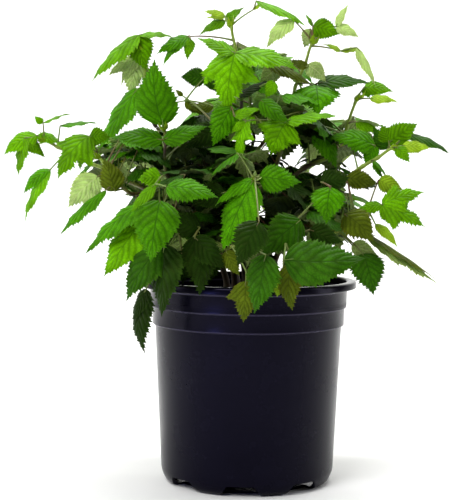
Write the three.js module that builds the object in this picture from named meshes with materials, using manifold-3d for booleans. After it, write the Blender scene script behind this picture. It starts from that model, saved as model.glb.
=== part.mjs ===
// Thornless bramble in a black nursery pot: pot, potting soil, canes and laterals, and the masses
// of compound leaves that they carry. Millimetres, +Z up, the front of the plant faces -Y, and the
// origin is the centre of the pot's underside.

import * as THREE from "three";
import { mergeVertices } from "three/addons/utils/BufferGeometryUtils.js";
import Module from "manifold-3d";

const wasm = await Module();
wasm.setup();
const { Manifold, Mesh: SolidMesh } = wasm;

// Pot: radii and heights of the outer wall, from the foot to the lip.
const POT_HEIGHT = 165;
const LIP_RADIUS = 88;
const LIP_HEIGHT = 5.6;
const LIP_WALL = 1.7;
const WALL = 1.6;
const FLOOR = 2.0;
const POT_SEGMENTS = 32;
const FOOT_RADIUS = 63.6;
const BEVEL_RADIUS = 67.6;
const BEVEL_HEIGHT = 2.7;
const WALL_FOOT_RADIUS = 70.6;
const WALL_FOOT_HEIGHT = 11.4;
const LOWER_STEP = { height: 128.7, below: 76.4, above: 78.2 };
const UPPER_STEP = { height: 143.6, below: 78.6, above: 80.2 };
const STEP_RISE = 0.9;
const NECK_RADIUS = 80.8;
const NECK_HEIGHT = 158.2;

// Drainage notches round the foot.
const NOTCH_COUNT = 8;
const NOTCH_HEIGHT = 8.7;
const NOTCH_TOP_HALF = 10.7;
const NOTCH_FOOT_HALF = 16.1;
const NOTCH_CORNER = { across: 1.2, down: 1.4 };
const NOTCH_BELOW = { across: 2, down: 4 };
const NOTCH_DEPTH_RADIUS = 53;
const NOTCH_TURN = THREE.MathUtils.degToRad(-94);

// Potting soil.
const SOIL_TOP = 150;
const GAP = 0.3;

// Woody parts.
const CANE_SIDES = 5;
const CANE_STEPS = 6;
const CANE_RADIUS = 2.5;
const LATERAL_RADIUS = 1.8;
const TIP_RADIUS = 1.5;
const FLARE = 1.6;
const FLARE_LENGTH = 7;
const SOCKET_SPARE = 0.1;

// How limbs bend. A limb keeps its first heading for a run, comes into its tip from a handle set
// back from it, and crests above the straight line: all as shares of the limb's span.
const CANE_RUN = 0.8;
const CANE_CREST = 0.12;
const LATERAL_CREST = 0.1;
const HANDLE_BACK = 0.3;
const FORK_LEAN = 0.35;
const SHOOT_RUN = 0.35;
const SHOOT_HANDLE = 0.66;
const SHOOT_CREST = 0.05;
const PETIOLE_CREST = 0.08;
const PETIOLE_OVERRUN = 1.5;
const BENT_PETIOLE = 18;

// Leafy shoots.
const STEM_SIDES = 3;
const STEM_STEPS = 4;
const STEM_RADIUS = 1.7;
const STEM_TIP_RADIUS = 1.2;
const TWIG_SIDES = 3;
const PETIOLE_RADIUS = 1.15;
const PETIOLE_TIP_RADIUS = 0.85;
const BLADE_RATIO = 0.64;
const RULE_BLADE_RATIO = 0.74;
const BLADE_ARCH = 0.09;
const BLADE_FOLD = 0.16;
const BLADE_THICK = 0.55;
const BLADE_THICK_SHARE = 0.012;
const BROAD_WIDTH = 12;
const LONG_BLADE = 40;
const NECK_LENGTH = 4;
const NECK_HALF = 0.8;
const CLEARANCE = 0.4;
const SLIVER = 0.06;
const DEPTH_STEP = 3;
const DEPTH_TRIES = 9;

// Places are stated as they are seen from the front: X to the right and Z up on the plane of the
// pot's axis, from a viewer this far in front of it and this high, and then y, the depth behind it.
// The reading of Z that lies level with the viewer is a little more than the viewer's height.
const VIEW_DISTANCE = 1100;
const VIEW_HEIGHT = 255;
const LEVEL_READING = 257;

// Canes rise from the soil at a foot [x, y]; laterals leave a cane at a share of its length.
// Each ends at [X, Z, y]; lift is the share of its length over which it keeps its first heading.
const CANES = [
  { name: "cane_left", foot: [-17, -3], tip: [-131, 261, -4], lift: 0.5 },
  { name: "cane_top_left", foot: [-11, 9], tip: [-76, 290, 10], lift: 0.5 },
  { name: "cane_centre", foot: [-3, 3], tip: [-7, 300, 4], lift: 0.4 },
  { name: "cane_top_right", foot: [8, 7], tip: [31, 302, 2], lift: 0.4 },
  { name: "cane_right", foot: [16, -5], tip: [97, 263, -30], lift: 0.5 },
  { name: "cane_front", foot: [1, -13], tip: [-3, 224, -50], lift: 0.5 },
  { name: "cane_back_left", foot: [-9, 19], tip: [-62, 240, 72], lift: 0.5 },
  { name: "cane_back_right", foot: [11, 19], tip: [58, 244, 74], lift: 0.5 },
];
const LATERALS = [
  { name: "lateral_left_front", from: "cane_left", at: 0.5, tip: [-94, 236, -38], lift: 0.3 },
  { name: "lateral_left_low", from: "cane_left", at: 0.3, tip: [-56, 206, -62], lift: 0.3 },
  { name: "lateral_left_upper", from: "cane_top_left", at: 0.5, tip: [-62, 246, -24], lift: 0.3 },
  { name: "lateral_middle", from: "cane_centre", at: 0.55, tip: [9, 276, -18], lift: 0.3 },
  { name: "lateral_right_upper", from: "cane_top_right", at: 0.5, tip: [63, 266, 8], lift: 0.3 },
  { name: "lateral_right_low", from: "cane_right", at: 0.42, tip: [64, 208, -42], lift: 0.3 },
  { name: "lateral_front_right", from: "cane_front", at: 0.4, tip: [16, 198, -58], lift: 0.3 },
  { name: "lateral_front_low", from: "cane_front", at: 0.3, tip: [-16, 186, -60], lift: 0.3 },
  { name: "lateral_back_top", from: "cane_centre", at: 0.4, tip: [2, 276, 52], lift: 0.3 },
  { name: "lateral_back_upper", from: "cane_top_left", at: 0.6, tip: [-34, 258, 34], lift: 0.3 },
  { name: "lateral_back_left_low", from: "cane_back_left", at: 0.4, tip: [-78, 206, 56], lift: 0.3 },
  { name: "lateral_back_right_low", from: "cane_back_right", at: 0.4, tip: [72, 212, 60], lift: 0.3 },
  { name: "lateral_back_middle", from: "cane_back_left", at: 0.3, tip: [0, 214, 92], lift: 0.3 },
];

// Foliage masses: each shoot goes on from its limb's tip to an end [X, Z, y].
// leaves: [hub X, hub Z, hub y, blades], each blade [clock, reach, lean, wide, stalk].
//   clock: direction in degrees as seen from the front, 0 up and 90 to the right
//   reach: visible length; lean: degrees toward the viewer; wide: visible width, under 0 where the
//   underside shows; stalk: length of its own little stalk
// fill: number of further leaves set by the seeded rule; size: their blade length.
const MASSES = [
  {
    name: "foliage_far_left", limb: "cane_left", end: [-168, 279, -6], colour: "#4f9a18",
    fill: 0, size: 26, seed: 11,
    leaves: [
      [-174, 283, -6, [[241, 31, 5, 15], [109, 22, 0, 9]]],
      [-184, 281, -8, [[190, 32, 0, 12], [132, 23, 0, 11]]],
      [-169, 293, -4, [[70, 25, 0, 4]]],
      [-155, 291, -8, [[85, 31, 0, 5]]],
      [-163, 255, -10, [[230, 29, 0, 12], [208, 44, 10, 14, 3]]],
    ],
  },
  {
    name: "foliage_left_front", limb: "lateral_left_front", end: [-124, 266, -42], colour: "#3e7d1a",
    fill: 2, size: 34, seed: 52,
    leaves: [
      [-131, 283, -40, [[215, 42, 10, 25], [197, 27, 0, 15], [78, 14, 0, 14]]],
      [-124, 250, -46, [[224, 34, 0, 22]]],
      [-110, 238, -50, [[341, 27, 0, 19]]],
      [-115, 241, -52, [[226, 50, 0, 11, 3]]],
    ],
  },
  {
    name: "foliage_left_low", limb: "lateral_left_low", end: [-78, 222, -92], colour: "#356f1b",
    fill: 4, size: 38, seed: 13,
    leaves: [
      [-74, 241, -84, [[229, 61, 0, 12, 14]]],
      [-89, 213, -80, [[213, 49, 10, 26], [250, 27, 0, 12]]],
      [-73, 231, -104, [[188, 46, 10, 34]]],
      [-69, 195, -94, [[214, 52, 0, 27], [182, 54, 8, 25]]],
      [-84, 158, -72, [[183, 50, 0, 14], [203, 27, 0, 10]]],
    ],
  },
  {
    name: "foliage_left_upper", limb: "lateral_left_upper", end: [-70, 288, -44], colour: "#356f1b",
    fill: 4, size: 36, seed: 14,
    leaves: [
      [-71, 292, -48, [[353, 50, 12, 32]]],
      [-71, 280, -56, [[271, 41, 0, 16], [72, 36, 0, 14]]],
      [-72, 250, -84, [[262, 18, 0, 15]]],
      [-77, 244, -88, [[222, 29, 0, 8]]],
      [-68, 242, -92, [[101, 40, 10, 18]]],
    ],
  },
  {
    name: "foliage_top_left", limb: "cane_top_left", end: [-88, 350, 2], colour: "#4f8f1c",
    fill: 2, size: 30, seed: 15,
    leaves: [
      [-91, 365, 0, [[226, 55, 0, 17], [168, 29, -6, 22], [92, 28, 0, 5]]],
      [-91, 347, 6, [[194, 31, 0, 22], [238, 30, 0, 13]]],
      [-91, 322, -10, [[213, 61, 0, 21]]],
      [-53, 312, -8, [[126, 19, 0, 8]]],
      [-30, 308, -12, [[262, 20, 0, 10]]],
      [-37, 331, -6, [[271, 20, 0, 16], [137, 19, 0, 10]]],
    ],
  },
  {
    name: "foliage_top_centre", limb: "cane_centre", end: [-16, 373, 0], colour: "#5aa812",
    fill: 2, size: 30, seed: 16,
    leaves: [
      [-13, 351, -28, [[292, 32, 0, 11], [187, 48, 12, 33], [224, 36, -4, 16], [102, 51, 10, 17]]],
      [-21, 378, 5, [[242, 24, 0, 9], [285, 18, 0, 6], [55, 19, 0, 8]]],
      [-50, 364, 3, [[242, 30, 10, 10], [165, 17, 0, 9]]],
      [4, 393, 0, [[115, 47, 0, 8]]],
      [13, 343, -11, [[115, 43, 0, 8]]],
      [22, 340, -8, [[226, 20, 0, 15]]],
      [-10, 316, -16, [[64, 29, 0, 8]]],
    ],
  },
  {
    name: "foliage_top_right", limb: "cane_top_right", end: [50, 360, -4], colour: "#5aa812",
    fill: 2, size: 28, seed: 17,
    leaves: [
      [50, 373, -5, [[106, 23, 0, 17], [325, 12, 0, 4], [198, 16, 0, 12]]],
      [34, 378, -2, [[223, 31, 0, 13]]],
      [69, 373, -5, [[114, 21, 0, 10], [29, 20, 0, 6]]],
      [73, 353, -8, [[290, 16, 0, 5], [88, 17, 0, 5]]],
      [86, 356, -10, [[152, 34, 0, 10]]],
      [46, 342, -16, [[132, 20, 0, 14]]],
      [53, 326, -6, [[176, 24, 45, 38]]],
      [54, 327, -8, [[89, 43, 0, 13]]],
    ],
  },
  {
    name: "foliage_right_upper", limb: "lateral_right_upper", end: [86, 314, 4], colour: "#3e7d1a",
    fill: 4, size: 34, seed: 18,
    leaves: [
      [92, 324, 5, [[96, 24, 0, 13], [150, 10, 0, 7]]],
      [97, 315, -3, [[95, 23, 0, 8]]],
      [86, 296, -12, [[117, 24, 0, 10]]],
      [101, 276, -27, [[280, 38, 5, 17], [207, 18, 5, 13]]],
      [56, 293, -14, [[156, 37, 10, 18]]],
    ],
  },
  {
    name: "foliage_right_outer", limb: "cane_right", end: [116, 275, -32], colour: "#5aa812",
    fill: 0, size: 26, seed: 19,
    leaves: [
      [113, 280, -28, [[57, 27, 0, 19], [335, 15, 0, 13], [98, 19, 0, 8]]],
      [128, 286, -24, [[113, 38, 0, 8]]],
      [113, 275, -18, [[322, 21, 0, 15]]],
      [124, 277, -36, [[92, 22, 0, 9]]],
      [119, 276, -40, [[138, 16, 0, 10]]],
      [101, 265, -40, [[143, 19, 0, 4], [152, 18, 0, 6]]],
    ],
  },
  {
    name: "foliage_right_low", limb: "lateral_right_low", end: [98, 222, -54], colour: "#3e7d1a",
    fill: 4, size: 34, seed: 20,
    leaves: [
      [79, 250, -48, [[99, 25, 0, 15]]],
      [105, 249, -44, [[112, 21, 0, 14]]],
      [108, 229, -56, [[72, 34, 0, 17], [115, 37, 8, 19], [142, 22, 0, 14], [255, 21, 0, 9]]],
      [103, 213, -56, [[135, 25, 0, 7]]],
      [91, 207, -48, [[123, 68, 0, 7, 4], [131, 30, 0, 5, 11]]],
      [93, 189, -62, [[165, 33, 5, 26]]],
      [78, 221, -74, [[133, 30, 8, 23]]],
    ],
  },
  {
    name: "foliage_front_right", limb: "lateral_front_right", end: [30, 196, -98], colour: "#5aa812",
    fill: 3, size: 36, seed: 21,
    leaves: [
      [29, 183, -112, [[87, 59, 12, 34]]],
      [36, 181, -102, [[181, 36, 0, 19]]],
      [28, 173, -98, [[192, 19, 0, 15]]],
      [66, 243, -82, [[186, 27, 15, 25]]],
      [58, 247, -74, [[80, 22, 10, 18]]],
      [42, 216, -92, [[228, 39, 10, 26]]],
      [50, 208, -84, [[110, 26, 10, 18]]],
    ],
  },
  {
    name: "foliage_front_centre", limb: "cane_front", end: [4, 250, -78], colour: "#4f9a18",
    fill: 3, size: 38, seed: 22,
    leaves: [
      [2, 246, -82, [[203, 56, 8, 27]]],
      [8, 251, -80, [[97, 32, 5, 21], [236, 38, 0, 8, 3]]],
      [8, 214, -122, [[206, 35, 10, 25]]],
      [-20, 238, -70, [[255, 30, 10, 20]]],
    ],
  },
  {
    name: "foliage_front_low", limb: "lateral_front_low", end: [-14, 194, -92], colour: "#2f5f18",
    fill: 3, size: 34, seed: 23,
    leaves: [
      [14, 187, -116, [[191, 44, 0, 25]]],
      [-2, 173, -101, [[183, 31, 0, 20, 7]]],
      [-45, 201, -89, [[174, 44, 5, 23], [133, 33, 10, 20]]],
      [-19, 190, -88, [[150, 21, 10, 14]]],
      [-40, 209, -84, [[285, 28, 15, 18]]],
    ],
  },
  {
    name: "foliage_middle", limb: "lateral_middle", end: [18, 300, -38], colour: "#4f9a18",
    fill: 3, size: 34, seed: 24,
    leaves: [
      [29, 296, -40, [[204, 29, 10, 30], [84, 42, 10, 10]]],
      [8, 313, -46, [[127, 28, 0, 15]]],
      [-3, 296, -50, [[188, 31, 10, 12], [230, 15, 0, 7]]],
      [-13, 300, -48, [[75, 22, 0, 8]]],
      [-15, 307, -42, [[205, 33, 15, 22]]],
      [-26, 290, -34, [[238, 30, 15, 20]]],
    ],
  },
  {
    name: "foliage_back_top", limb: "lateral_back_top", end: [-6, 340, 84], colour: "#3e7d1a",
    fill: 8, size: 42, seed: 31, leaves: [],
  },
  {
    name: "foliage_back_upper", limb: "lateral_back_upper", end: [-34, 290, 64],
    colour: "#3e7d1a", fill: 5, size: 40, seed: 37, leaves: [],
  },
  {
    name: "foliage_back_left", limb: "cane_back_left", end: [-108, 268, 112], colour: "#3e7d1a",
    fill: 9, size: 42, seed: 32, leaves: [],
  },
  {
    name: "foliage_back_right", limb: "cane_back_right", end: [88, 276, 112], colour: "#356f1b",
    fill: 9, size: 42, seed: 33, leaves: [],
  },
  {
    name: "foliage_back_left_low", limb: "lateral_back_left_low", end: [-100, 216, 88],
    colour: "#2f5f18", fill: 8, size: 40, seed: 44, leaves: [],
  },
  {
    name: "foliage_back_right_low", limb: "lateral_back_right_low", end: [80, 226, 98],
    colour: "#2f5f18", fill: 8, size: 40, seed: 35, leaves: [],
  },
  {
    name: "foliage_back_middle", limb: "lateral_back_middle", end: [-4, 226, 140],
    colour: "#356f1b", fill: 8, size: 42, seed: 36, leaves: [],
  },
];

// Sky seen through the crown: [X, Z, half width, half height]. No further leaf is set across it.
const SKY_GAPS = [
  [-94, 293, 8, 9],
  [-59, 297, 9, 8],
  [-64, 325, 8, 18],
  [-38, 320, 12, 8],
  [-4, 312, 9, 4],
  [-53, 267, 8, 4],
  [-104, 255, 6, 7],
  [-112, 227, 9, 11],
  [31, 324, 10, 8],
  [74, 303, 9, 7],
  [3, 368, 10, 14],
  [30, 272, 6, 6],
  [36, 265, 7, 5],
  [56, 256, 7, 5],
  [6, 278, 4, 6],
  [-9, 281, 5, 6],
  [9, 222, 5, 8],
  [59, 209, 4, 5],
  [46, 202, 6, 4],
  [80, 266, 5, 5],
  [88, 262, 6, 6],
  [98, 256, 5, 6],
  [99, 237, 6, 5],
  [88, 240, 8, 4],
];

// How far the crown's body reaches from its middle, every 22.5 degrees round from straight up.
const CROWN_MIDDLE = { X: -10, Z: 250 };
const CROWN_REACH = [128, 108, 102, 122, 126, 119, 98, 78, 75, 80, 112, 126, 134, 116, 106, 86];
const CROWN_SECTOR = Math.PI / 8;
const CROWN_DEPTH = 172;
const CROWN_FLOOR = 172;
const CROWN_FULLNESS = 1.15;

const vec = (x, y, z) => new THREE.Vector3(x, y, z);
const UP = vec(0, 0, 1);

// A point from its place as seen from the front.
function seen(X, Z, y) {
  const scale = (VIEW_DISTANCE + y) / VIEW_DISTANCE;
  return vec(X * scale, y, VIEW_HEIGHT + (Z - LEVEL_READING) * scale);
}

// Repeatable numbers from 0 to 1.
function dice(seed) {
  let state = seed;
  return () => {
    state = (state + 0x6d2b79f5) | 0;
    let t = Math.imul(state ^ (state >>> 15), 1 | state);
    t = (t + Math.imul(t ^ (t >>> 7), 61 | t)) ^ t;
    return ((t ^ (t >>> 14)) >>> 0) / 4294967296;
  };
}

// A closed geometry as a solid, whichever way round its faces come.
const SAME_POINT = 1e-4;

function toSolid(geometry) {
  const bare = geometry.clone();
  bare.deleteAttribute("normal");
  bare.deleteAttribute("uv");
  const merged = mergeVertices(bare, SAME_POINT);
  const corners = [];
  const index = merged.index.array;
  for (let i = 0; i < index.length; i += 3) {
    const [a, b, c] = [index[i], index[i + 1], index[i + 2]];
    if (a !== b && b !== c && c !== a) corners.push(a, b, c);
  }
  const build = (order) =>
    new Manifold(
      new SolidMesh({
        numProp: 3,
        vertProperties: merged.attributes.position.array,
        triVerts: new Uint32Array(order),
      }),
    );
  const solid = build(corners);
  return solid.volume() < 0 ? build(corners.toReversed()) : solid;
}

function toGeometry(solid) {
  const { vertProperties, triVerts } = solid.getMesh();
  const geometry = new THREE.BufferGeometry();
  geometry.setAttribute("position", new THREE.BufferAttribute(vertProperties, 3));
  geometry.setIndex(new THREE.BufferAttribute(triVerts, 1));
  const flat = geometry.toNonIndexed();
  flat.computeVertexNormals();
  return flat;
}

// A closed solid from points and the triangles between them.
function facets(points, triangles) {
  const geometry = new THREE.BufferGeometry().setFromPoints(points);
  geometry.setIndex(triangles.flat());
  return toSolid(geometry);
}

// A curve that leaves a, heads for b, and comes into d from c.
function curve(a, b, c, d) {
  return {
    at: (t) => {
      const s = 1 - t;
      return vec(0, 0, 0)
        .addScaledVector(a, s * s * s)
        .addScaledVector(b, 3 * s * s * t)
        .addScaledVector(c, 3 * s * t * t)
        .addScaledVector(d, t * t * t);
    },
    along: (t) => {
      const s = 1 - t;
      return vec(0, 0, 0)
        .addScaledVector(b.clone().sub(a), s * s)
        .addScaledVector(c.clone().sub(b), 2 * s * t)
        .addScaledVector(d.clone().sub(c), t * t)
        .normalize();
    },
    length: a.distanceTo(b) + b.distanceTo(c) + c.distanceTo(d),
  };
}

// A round limb of changing radius along a curve, with flat ends.
function limb(path, steps, sides, radiusAt) {
  const points = [];
  const triangles = [];
  let side = Math.abs(path.along(0).z) > 0.9 ? vec(1, 0, 0) : vec(0, 0, 1);
  for (let i = 0; i <= steps; i += 1) {
    const t = i / steps;
    const along = path.along(t);
    side = side.clone().addScaledVector(along, -side.dot(along)).normalize();
    const other = along.clone().cross(side);
    for (let k = 0; k < sides; k += 1) {
      const turn = (2 * Math.PI * k) / sides;
      points.push(
        path
          .at(t)
          .addScaledVector(side, radiusAt(t) * Math.cos(turn))
          .addScaledVector(other, radiusAt(t) * Math.sin(turn)),
      );
    }
  }
  for (let i = 0; i < steps; i += 1) {
    for (let k = 0; k < sides; k += 1) {
      const a = i * sides + k;
      const b = i * sides + ((k + 1) % sides);
      triangles.push([a, b, b + sides], [a, b + sides, a + sides]);
    }
  }
  const last = steps * sides;
  for (let k = 1; k < sides - 1; k += 1) {
    triangles.push([0, k + 1, k], [last, last + k, last + k + 1]);
  }
  return facets(points, triangles);
}

// A thin ovate blade: midrib from base along heading, upper side toward face.
function blade(base, heading, face, length, width, outline) {
  const neck = [NECK_LENGTH / length, (2 * NECK_HALF) / width];
  const stations = length > LONG_BLADE ? [neck, ...outline] : outline;
  const side = heading.clone().cross(face).normalize();
  const thick = BLADE_THICK + BLADE_THICK_SHARE * length;
  const place = (share, across, above) =>
    base
      .clone()
      .addScaledVector(heading, share * length)
      .addScaledVector(side, across)
      .addScaledVector(face, above + BLADE_ARCH * length * 4 * share * (1 - share));
  const points = [place(0, 0, 0), place(1, 0, 0)];
  for (const [share, half] of stations) {
    const reach = (half * width) / 2;
    const drop = -BLADE_FOLD * reach;
    points.push(place(share, reach, drop), place(share, -reach, drop));
    points.push(place(share, 0, thick / 2), place(share, 0, -thick / 2));
  }
  const triangles = [];
  const strip = (edge, rib, turned) => {
    const add = (a, b, c) => triangles.push(turned ? [a, c, b] : [a, b, c]);
    add(0, rib, edge);
    stations.slice(1).forEach((_, i) => {
      const here = 4 * i;
      add(edge + here, rib + here, edge + here + 4);
      add(rib + here, rib + here + 4, edge + here + 4);
    });
    const end = 4 * (stations.length - 1);
    add(edge + end, rib + end, 1);
  };
  strip(2, 4, false);
  strip(3, 4, true);
  strip(2, 5, true);
  strip(3, 5, false);
  return facets(points, triangles);
}

// Blade outlines: [share of the length, share of the half width] after the narrow neck.
const BROAD = [[0.34, 0.94], [0.72, 0.66]];
const NARROW = [[0.42, 1]];

// The pot: wall with two steps, neck and turned-down lip, bevelled foot and drainage notches.
const POT_WALL = [
  [WALL_FOOT_RADIUS, WALL_FOOT_HEIGHT],
  [LOWER_STEP.below, LOWER_STEP.height],
  [LOWER_STEP.above, LOWER_STEP.height + STEP_RISE],
  [UPPER_STEP.below, UPPER_STEP.height],
  [UPPER_STEP.above, UPPER_STEP.height + STEP_RISE],
];

function revolve(profile) {
  const points = profile.map(([r, z]) => new THREE.Vector2(r, z));
  return toSolid(new THREE.LatheGeometry(points, POT_SEGMENTS).rotateX(Math.PI / 2));
}

function makePot() {
  const lipFoot = POT_HEIGHT - LIP_HEIGHT;
  const shell = revolve([
    [0, 0],
    [FOOT_RADIUS, 0],
    [BEVEL_RADIUS, BEVEL_HEIGHT],
    ...POT_WALL,
    [NECK_RADIUS, NECK_HEIGHT],
    [NECK_RADIUS + WALL, POT_HEIGHT - LIP_WALL],
    [LIP_RADIUS - LIP_WALL, POT_HEIGHT - LIP_WALL],
    [LIP_RADIUS - LIP_WALL, lipFoot],
    [LIP_RADIUS, lipFoot],
    [LIP_RADIUS, POT_HEIGHT - LIP_WALL],
    [LIP_RADIUS - LIP_WALL, POT_HEIGHT],
    [NECK_RADIUS, POT_HEIGHT],
    [NECK_RADIUS - WALL, NECK_HEIGHT],
    [UPPER_STEP.below - WALL, UPPER_STEP.height - WALL],
    [LOWER_STEP.below - WALL, LOWER_STEP.height - WALL],
    [WALL_FOOT_RADIUS - WALL, WALL_FOOT_HEIGHT],
    [FOOT_RADIUS - WALL, FLOOR],
    [0, FLOOR],
  ]);
  const outline = new THREE.Shape([
    new THREE.Vector2(-NOTCH_FOOT_HALF - NOTCH_BELOW.across, -NOTCH_BELOW.down),
    new THREE.Vector2(NOTCH_FOOT_HALF + NOTCH_BELOW.across, -NOTCH_BELOW.down),
    new THREE.Vector2(NOTCH_FOOT_HALF, 0),
    new THREE.Vector2(NOTCH_TOP_HALF + NOTCH_CORNER.across, NOTCH_HEIGHT - NOTCH_CORNER.down),
    new THREE.Vector2(NOTCH_TOP_HALF, NOTCH_HEIGHT),
    new THREE.Vector2(-NOTCH_TOP_HALF, NOTCH_HEIGHT),
    new THREE.Vector2(-NOTCH_TOP_HALF - NOTCH_CORNER.across, NOTCH_HEIGHT - NOTCH_CORNER.down),
    new THREE.Vector2(-NOTCH_FOOT_HALF, 0),
  ]);
  const depth = LIP_RADIUS - NOTCH_DEPTH_RADIUS;
  const cutter = new THREE.ExtrudeGeometry(outline, { depth, bevelEnabled: false });
  cutter.rotateX(Math.PI / 2).translate(0, LIP_RADIUS, 0);
  let pot = shell;
  for (let k = 0; k < NOTCH_COUNT; k += 1) {
    const turn = NOTCH_TURN - Math.PI / 2 + (2 * Math.PI * k) / NOTCH_COUNT;
    pot = pot.subtract(toSolid(cutter.clone().rotateZ(turn)));
  }
  return pot;
}

function makeSoil() {
  return revolve([
    [0, FLOOR + GAP],
    [FOOT_RADIUS - WALL - GAP, FLOOR + GAP],
    [WALL_FOOT_RADIUS - WALL - GAP, WALL_FOOT_HEIGHT],
    [LOWER_STEP.below - WALL - GAP, LOWER_STEP.height - WALL],
    [LOWER_STEP.below - WALL - GAP, SOIL_TOP],
    [0, SOIL_TOP],
  ]);
}

// Everything placed so far, to keep one node clear of the next.
const placed = [];

function place(owner, solid, isShoot = false) {
  const { min, max } = solid.boundingBox();
  placed.push({ owner, solid, isShoot, min, max });
}

function isClear(owner, solid, alsoOwn) {
  const { min, max } = solid.boundingBox();
  const near = (other) =>
    [0, 1, 2].every(
      (k) => min[k] < other.max[k] + CLEARANCE && max[k] > other.min[k] - CLEARANCE,
    );
  return placed.every(
    (other) =>
      (other.owner === owner && (other.isShoot || !alsoOwn)) ||
      !near(other) ||
      solid.minGap(other.solid, 2 * CLEARANCE) >= CLEARANCE,
  );
}

const pot = makePot();
const soil = makeSoil();
place("pot", pot);
place("soil", soil);

// Canes, then the laterals that leave them.
const limbs = new Map();

function limbRadius(base, t, length) {
  const flare = base === CANE_RADIUS ? FLARE * Math.exp((-t * length) / FLARE_LENGTH) : 0;
  return base + (TIP_RADIUS - base) * t + flare;
}

for (const row of CANES) {
  const [x, y] = row.foot;
  const foot = vec(x, y, SOIL_TOP + GAP);
  const tip = seen(...row.tip);
  const span = foot.distanceTo(tip);
  const path = curve(
    foot,
    foot.clone().addScaledVector(UP, row.lift * span * CANE_RUN),
    tip.clone().lerp(foot, HANDLE_BACK).addScaledVector(UP, CANE_CREST * span),
    tip,
  );
  const radiusAt = (t) => limbRadius(CANE_RADIUS, t, span);
  const solid = limb(path, CANE_STEPS, CANE_SIDES, radiusAt);
  limbs.set(row.name, { path, radiusAt, solid });
  place(row.name, solid);
}

for (const row of LATERALS) {
  const parent = limbs.get(row.from);
  const root = parent.path.at(row.at);
  const tip = seen(...row.tip);
  const span = root.distanceTo(tip);
  const out = tip.clone().sub(root).normalize();
  const heading = out.clone().addScaledVector(parent.path.along(row.at), FORK_LEAN).normalize();
  const path = curve(
    root,
    root.clone().addScaledVector(heading, row.lift * span),
    tip.clone().lerp(root, HANDLE_BACK).addScaledVector(UP, LATERAL_CREST * span),
    tip,
  );
  const radiusAt = (t) => limbRadius(LATERAL_RADIUS, t, span);
  const socketRadius = (t) => parent.radiusAt(t) + GAP + SOCKET_SPARE;
  const socket = limb(parent.path, CANE_STEPS, CANE_SIDES, socketRadius);
  const whole = limb(path, CANE_STEPS, CANE_SIDES, radiusAt).subtract(socket);
  const solid = largest(whole);
  limbs.set(row.name, { path, radiusAt, solid });
  place(row.name, solid);
}

// The biggest body of a solid, with any sealed hollow filled.
function largest(solid) {
  const bodies = solid.decompose();
  return bodies.reduce((best, body) => (body.volume() > best.volume() ? body : best));
}

// One sound body: slivers merged away, sealed hollows filled and loose scraps dropped.
function settle(solid) {
  let body = largest(solid).simplify(SLIVER);
  for (let k = 0; k < 3; k += 1) {
    const geometry = mergeVertices(toGeometry(body).deleteAttribute("normal"), SLIVER / 20);
    body = largest(toSolid(geometry));
  }
  return body;
}

// One compound leaf: a petiole from the shoot to its hub, and the blades that leave the hub.
function petiole(root, hub) {
  const span = root.distanceTo(hub);
  const heading = hub.clone().sub(root).normalize();
  const mid = root.clone().lerp(hub, 1 / 2).addScaledVector(UP, PETIOLE_CREST * span);
  const end = hub.clone().addScaledVector(heading, PETIOLE_OVERRUN);
  const path = curve(root, root.clone().lerp(mid, 2 / 3), mid.clone().lerp(end, 1 / 3), end);
  const taper = PETIOLE_TIP_RADIUS - PETIOLE_RADIUS;
  const steps = span > BENT_PETIOLE ? 2 : 1;
  return limb(path, steps, TWIG_SIDES, (t) => PETIOLE_RADIUS + taper * t);
}

// Heading and upper side of a blade from its clock, lean and visible width.
function poseBlade(clock, reach, lean, wide) {
  const angle = THREE.MathUtils.degToRad(clock);
  const tilt = THREE.MathUtils.degToRad(lean);
  const length = reach / Math.cos(tilt);
  const heading = vec(
    Math.sin(angle) * Math.cos(tilt),
    -Math.sin(tilt),
    Math.cos(angle) * Math.cos(tilt),
  );
  const width = Math.max(Math.abs(wide), BLADE_RATIO * length);
  const viewer = vec(0, -Math.sign(wide), 0);
  const facing = viewer.addScaledVector(heading, -viewer.dot(heading)).normalize();
  const roll = Math.acos(Math.min(1, Math.abs(wide) / width));
  const turned = [roll, -roll].map((r) => facing.clone().applyAxisAngle(heading, r));
  const face = turned[0].z >= turned[1].z ? turned[0] : turned[1];
  return { heading, face, length, width };
}

function compoundLeaf(root, hub, blades) {
  const parts = [petiole(root, hub)];
  for (const [clock, reach, lean, wide, stalk = 0] of blades) {
    const { heading, face, length, width } = poseBlade(clock, reach, lean, wide);
    let base = hub;
    if (stalk > 0) {
      base = hub.clone().addScaledVector(heading, stalk);
      parts.push(petiole(hub.clone().addScaledVector(heading, -1), base));
    }
    const outline = Math.abs(wide) >= BROAD_WIDTH ? BROAD : NARROW;
    parts.push(blade(base, heading, face, length, width, outline));
  }
  return Manifold.union(parts);
}

// The point where a leaf's petiole leaves the shoot or an earlier petiole's hub: the one at the
// least cost, where a hub costs more than the shoot, and leaning back more than leaning forward.
const SPRING = { first: 0.1, step: 0.06, hubCost: 12, hubShare: 1.4, level: 1.3, forward: 0.3 };

function springPoint(mass, hub) {
  const options = mass.hubs.map((point) => ({
    point,
    cost: point.distanceTo(hub) * SPRING.hubShare + SPRING.hubCost,
  }));
  for (let t = SPRING.first; t <= 1; t += SPRING.step) {
    const point = mass.path.at(t);
    const lean = hub.clone().sub(point).normalize().dot(mass.path.along(t));
    const share = SPRING.level - SPRING.forward * lean;
    options.push({ point, cost: point.distanceTo(hub) * share });
  }
  return options.reduce((best, o) => (o.cost < best.cost ? o : best)).point;
}

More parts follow.
